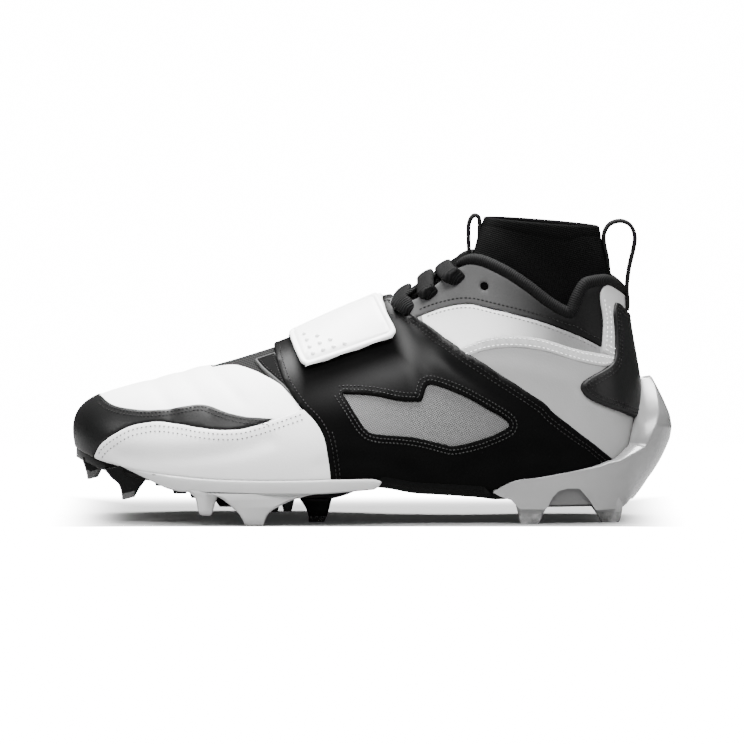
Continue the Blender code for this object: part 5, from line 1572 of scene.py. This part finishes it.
def tongue_top(s, w):
    """Points of the tongue's upper face: w runs from -1 at the outer wall to 1 at the inner wall."""
    s, w = np.broadcast_arrays(np.asarray(s, float), np.asarray(w, float))
    side = np.where(w < 0, s, 2 * HALF - s)
    low = np.interp(s, [8, 9.5, 11, 14], [0.68, 0.70, 0.88, 0.88])
    reach = np.full(s.shape, 0.94)
    v = np.clip(low + (reach - low) * (1 - abs(w)) / 0.3, 0, 1)
    wall = skin(side, v) + TONGUE_LIFT * normal(side, v)
    a = skin(s, reach) + TONGUE_LIFT * normal(s, reach)
    b = skin(2 * HALF - s, reach) + TONGUE_LIFT * normal(2 * HALF - s, reach)
    t = np.clip(w / 0.7, -1, 1)
    arch = (a + b) / 2 + (b - a) / 2 * t[..., None]
    crest = skin(s, 1.0)[..., 2] + np.interp(s, [8, 10.0, 10.9, 12.4, 14], [-5.2 * MM, -2.5 * MM, 6.5 * MM, 7.5 * MM, 5.0 * MM])
    arch[..., 2] += (crest - (a + b)[..., 2] / 2) * (1 - abs(t) ** 2.4)
    return np.where((abs(w) > 0.7)[..., None], wall, arch)

lines = np.linspace(8.2, 13.5, 34)
across = np.linspace(-1, 1, 41)
above = tongue_top(*np.meshgrid(lines, across, indexing="ij"))
under = above - [0, 0, 2.6 * MM]
points = np.concatenate([above.reshape(-1, 3), under.reshape(-1, 3)])
rows, columns = len(lines), len(across)
faces = grid_triangles(rows, columns, False)
faces += [tuple(rows * columns + k for k in f[::-1]) for f in faces]
rim = ([(i, 0) for i in range(rows)] + [(rows - 1, j) for j in range(1, columns)]
       + [(i, columns - 1) for i in range(rows - 2, -1, -1)] + [(0, j) for j in range(columns - 2, 0, -1)])
for (i, j), (k, m) in zip(rim, rim[1:] + rim[:1]):
    a, b = i * columns + j, k * columns + m
    faces.append((a, b, rows * columns + b, rows * columns + a))
tongue = make_mesh("tongue_knit", points, facing_out(points, faces), BLACK_KNIT)
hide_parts("tongue")
bed = []
bed_ribs = np.concatenate([[0.25, 0.5], np.linspace(0.9, HALF - 0.25, 60)])
for s in bed_ribs:
    a, b = foot(s) - 2.7 * MM * outward(s), foot(2 * HALF - s) - 2.7 * MM * outward(2 * HALF - s)
    for t, up in ((0, 0.5), (0.0, 2.6), (0.03, 3.4), (0.15, 3.5), (0.5, 3.1), (0.85, 3.5), (0.97, 3.4), (1.0, 2.6), (1, 0.5)):
        p = a + (b - a) * t
        bed.append((p[0], p[1], foot(s)[2] + up * MM))
insole = moulded("insole_bed", [(bed, ring_faces(len(bed_ribs), 9), always(0))], [BLACK_KNIT], replaces=["insole"])

# %% [markdown]
# ## Collar roll, cuff and pull loops
#
# The roll is a ribbed tube sewn round the collar. The knit cuff stands inside it and keeps its
# shape by itself. The two loops are flat woven tape, bent over and sewn in.

# %% Collar roll
def spline(points, count):
    """A smooth run of points through a few given ones, evenly spaced."""
    p = np.array(points, float)
    ends = np.concatenate([[2 * p[0] - p[1]], p, [2 * p[-1] - p[-2]]])
    out = []
    for a, b, c, d in zip(ends, ends[1:], ends[2:], ends[3:]):
        for t in np.arange(12) / 12:
            out.append(curve_point(a, b, c, d, t))
    out = np.array(out + [p[-1]])
    run = np.concatenate([[0], np.cumsum(np.linalg.norm(np.diff(out, axis=0), axis=1))])
    want = np.linspace(0, run[-1], count)
    return np.stack([np.interp(want, run, out[:, k]) for k in range(3)], -1)

def cord_mesh(name, path, wide, width, thick, material, sides=16, square=1.0, replaces=(), taper=0.0):
    """A flat or round cord along a path, with a strand map of length and girth."""
    path = np.array(path)
    runs = np.gradient(path, axis=0)
    length = np.concatenate([[0], np.cumsum(np.linalg.norm(np.diff(path, axis=0), axis=1))])
    points, uv = [], []
    for p, run, far in zip(path, runs, length):
        run = run / np.linalg.norm(run)
        w = np.array(wide, float) if not callable(wide) else wide(p)
        w = w - run * np.dot(w, run)
        w = w / np.linalg.norm(w)
        n = np.cross(run, w)
        thin = 1 - taper * max(0, 1 - min(far, length[-1] - far) / (2 * thick)) ** 2
        for k in range(sides + 1):
            q = 2 * np.pi * k / sides
            c, s = np.cos(q), np.sin(q)
            c, s = np.sign(c) * abs(c) ** square, np.sign(s) * abs(s) ** square
            points.append(p + w * c * width / 2 * thin + n * s * thick / 2 * thin)
            uv.append((far, k / sides))
    rows, count = len(path), sides + 1
    faces = [tuple((i * count + k, i * count + k + 1, (i + 1) * count + k + 1, (i + 1) * count + k))
             for i in range(rows - 1) for k in range(sides)]
    faces += [tuple(range(sides))[::-1], tuple((rows - 1) * count + k for k in range(sides))]
    obj = make_mesh(name, points, facing_out(points, faces), material, weld=None, uv=uv)
    dress(replaces)
    return obj

ROLL, ROLL_FIRST = 4.8 * MM, 13.7

def topline(s):
    edge, run = skin(s, 1.0), skin(s + 0.1, 1.0) - skin(s - 0.1, 1.0)
    run = run / np.linalg.norm(run)
    away = np.array([0, 0, 1.0]) - run[2] * run
    return edge, away / np.linalg.norm(away)

roll_path = [topline(s)[0] + topline(s)[1] * (ROLL / 2 - 0.4 * MM) for s in np.linspace(ROLL_FIRST - 0.5, 2 * HALF - ROLL_FIRST + 0.5, 44)]
collar_roll = cord_mesh("collar_roll_ribbed", spline(roll_path, 300), (0, 0, 1), 6.4 * MM, 5.8 * MM, ROLL_RIB, 14,
                        replaces=["collar_roll"], taper=0.6)

# %% [markdown]
# ### Cuff and loops
#
# The cuff blends from the collar's outline to a smaller oval and ends in a folded band. Each loop
# follows a short drawn line in the shoe's middle plane.

# %% Cuff and pull loops
CUFF_CENTRE, CUFF_LONG, CUFF_WIDE, CUFF_SLOPE = 0.285 * LENGTH, 0.096 * LENGTH, 0.36 * HEEL_WIDTH, -0.077
low_ring = []
for s in np.linspace(ROLL_FIRST, 2 * HALF - ROLL_FIRST, 90):
    edge, n = skin(s, 1.0), normal(s, 1.0) * [1, 1, 0]
    low_ring.append(edge - (WALL + 4 * GAP) * n / np.linalg.norm(n))
a, b = low_ring[-1], low_ring[0]
low_ring = np.array(low_ring + [a + (b - a) * t for t in np.linspace(0, 1, 22)[1:-1]])
angle = np.arctan2(low_ring[:, 1], low_ring[:, 0] - CUFF_CENTRE - SHIFT[0])
high_ring = np.stack([CUFF_CENTRE + SHIFT[0] + CUFF_LONG * np.cos(angle), SHIFT[1] + CUFF_WIDE * np.sin(angle),
                      CUFF_HEIGHT + CUFF_SLOPE * CUFF_LONG * (1 + np.cos(angle))], -1)
middle = np.array([CUFF_CENTRE + SHIFT[0], SHIFT[1], 0])
shares = np.concatenate([np.linspace(0, 0.78, 22), [0.80, 0.815, 0.83, 0.86, 0.9, 0.95, 0.985]])
rings = [low_ring - [0, 0, 9 * MM]]
for q in shares:
    ring = low_ring * (1 - q) + high_ring * q
    out = (ring - middle) * [1, 1, 0]
    out /= np.linalg.norm(out, axis=1, keepdims=True)
    swell = 0.5 * MM * np.sin(3.1 * angle + 6 * q) * q * (1 - q) * 3 + (0.15 * MM if q > 0.83 else -0.12 * MM if q > 0.8 else 0)
    rings.append(ring + out * (swell[:, None] if np.ndim(swell) else swell))
top_out = (high_ring - middle) * [1, 1, 0]
top_out /= np.linalg.norm(top_out, axis=1, keepdims=True)
rings += [high_ring + [0, 0, 0.0] - top_out * 0.5 * MM, high_ring - top_out * 1.8 * MM,
          high_ring - top_out * 2.3 * MM - [0, 0, 1.2 * MM]]
for q in (0.8, 0.5, 0.2, 0.0):
    ring = low_ring * (1 - q) + high_ring * q
    out = (ring - middle) * [1, 1, 0]
    out /= np.linalg.norm(out, axis=1, keepdims=True)
    rings.append(ring - out * 2.4 * MM)
rings.append(rings[0] - top_out * 2.4 * MM)
count = len(low_ring)
faces = ring_faces(len(rings), count, caps=False)
faces += [tuple(((len(rings) - 1) * count + k, (len(rings) - 1) * count + (k + 1) % count, (k + 1) % count, k))
          for k in range(count)]
points = np.concatenate(rings)
cuff = make_mesh("knit_cuff", points, facing_out(points, faces), BLACK_KNIT)
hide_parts("cuff")
FRONT_LOOP = [(0.163, 0.880), (0.162, 0.940), (0.163, 0.978), (0.169, 1.001), (0.176, 1.003), (0.1805, 0.990),
              (0.1805, 0.950), (0.180, 0.905)]
REAR_LOOP = [(0.3985, 0.800), (0.3955, 0.860), (0.3900, 0.915), (0.3905, 0.948), (0.400, 0.976), (0.418, 0.986), (0.434, 0.972),
             (0.4415, 0.938), (0.440, 0.899), (0.4320, 0.830), (0.4285, 0.768), (0.4300, 0.718), (0.4290, 0.690)]
for name, line in (("front_loop", FRONT_LOOP), ("rear_loop", REAR_LOOP)):
    path = spline([(x * LENGTH + SHIFT[0], SHIFT[1], z * CUFF_HEIGHT) for x, z in line], 90)
    cord_mesh(name + "_tape", path, (0, 1, 0), 11 * MM, 2.1 * MM, WEBBING, 16, 0.35, replaces=[name])

# %% [markdown]
# ## Laces
#
# Three bars of flat woven lace cross the throat, each over the tongue and down into an eyelet on
# either side. A thin twisted length joins the first two.

# %% Laces
# For each bar: the eyelet and the highest point, in mm of the side view.
BARS = [((19.6, 108.4), (16.2, 117.8)), ((31.0, 116.2), (27.2, 125.2)), ((44.6, 124.0), (36.4, 130.2))]

def bar_path(hole, crest):
    """Up from one eyelet, over the tongue and down into the other."""
    h = on_lifted(share([hole]), 1.2 * MM)[0]
    edge = np.array([h[0] + (rib_of(crest[0] * MM / LENGTH, 1.0) - h[0]) * 0.6, 1.0])
    top = SHIFT + np.array([crest[0], 0, crest[1]]) * MM
    top[2] -= SHIFT[2]
    path = []
    for turn in (False, True):
        leg = []
        for t, lift in ((-0.12, -0.6), (0.02, 1.9), (0.4, 3.3), (0.85, 4.2)):
            s, v = h + (edge - h) * t
            s = 2 * HALF - s if turn else s
            leg.append(skin(s, v) + lift * MM * normal(s, v))
        leg.append(np.array([top[0] + 0.25 * (leg[-1][0] - top[0]), top[1] + 0.5 * (leg[-1][1] - top[1]), top[2] - 1.2 * MM]))
        path += [*leg[::-1]] if turn else [*leg, top]
    return path

for number, (hole, crest) in enumerate(BARS):
    cord_mesh(f"lace_bar_{number}", spline(bar_path(hole, crest), 110), (0.84, 0, 0.54), 9.6 * MM, 3.8 * MM, LACE_BRAID,
              20, 0.85, replaces=["laces"] if number == 0 else (), taper=0.45)
CROSSES = [[(16.5, -12, 114.6), (20, -11, 117.2), (23.5, -8, 119.6), (27.5, -5, 122.4)],
           [(27.5, -9, 121.5), (30.5, -7, 124.0), (34, -4, 127.0)]]
for number, line in enumerate(CROSSES):
    path = np.array([(x, y, z) for x, y, z in line]) * MM + SHIFT * [1, 1, 0]
    cord_mesh(f"lace_cross_{number}", spline(path, 40), (0.5, -0.5, 0.4), 4.8 * MM, 3.4 * MM, LACE_BRAID, 14, 0.9)
print("lace bars:", len(BARS))

# %% [markdown]
# ## Small raised dots
#
# The dots on the strap's end are one repeat: points drawn on the plateau, a small dome on each.

# %% Dots on the strap end
def dot_tree():
    tree = bpy.data.node_groups.new("raised_dots", "GeometryNodeTree")
    for label, kind, value in (("Geometry", "Geometry", None), ("Dot Size", "Float", 0.002), ("Finish", "Material", None)):
        socket = tree.interface.new_socket(label, in_out="INPUT", socket_type="NodeSocket" + kind)
        if value is not None:
            socket.default_value = value
    tree.interface.new_socket("Geometry", in_out="OUTPUT", socket_type="NodeSocketGeometry")
    node, link = tree.nodes.new, tree.links.new
    given, out, dome = node("NodeGroupInput"), node("NodeGroupOutput"), node("GeometryNodeMeshUVSphere")
    dome.inputs["Segments"].default_value = 14
    dome.inputs["Rings"].default_value = 8
    dome.inputs["Radius"].default_value = 0.5
    place, real, paint = node("GeometryNodeInstanceOnPoints"), node("GeometryNodeRealizeInstances"), node("GeometryNodeSetMaterial")
    link(given.outputs["Geometry"], place.inputs["Points"])
    link(dome.outputs["Mesh"], place.inputs["Instance"])
    link(given.outputs["Dot Size"], place.inputs["Scale"])
    link(place.outputs["Instances"], real.inputs["Geometry"])
    link(real.outputs["Geometry"], paint.inputs["Geometry"])
    link(given.outputs["Finish"], paint.inputs["Material"])
    link(paint.outputs["Geometry"], out.inputs["Geometry"])
    return tree

dots = on_lifted(share([(-34.5, 96.0), (-27.9, 95.3), (-21.3, 93.6), (-13.9, 91.8), (-33.2, 93.2), (-26.6, 91.9),
                      (-19.5, 90.2), (-31.8, 90.0), (-24.8, 88.6), (-30.0, 86.8)]), 5.8 * MM)
data = bpy.data.meshes.new("strap_dots")
data.from_pydata([tuple(skin(s, v) + 5.5 * MM * normal(s, v)) for s, v in dots], [], [])
strap_dots = bpy.data.objects.new("strap_dots", data)
bpy.context.scene.collection.objects.link(strap_dots)
run_nodes(strap_dots, dot_tree(), {"Dot Size": 2.6 * MM, "Finish": STRAP_WHITE})
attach(strap_dots, "root")
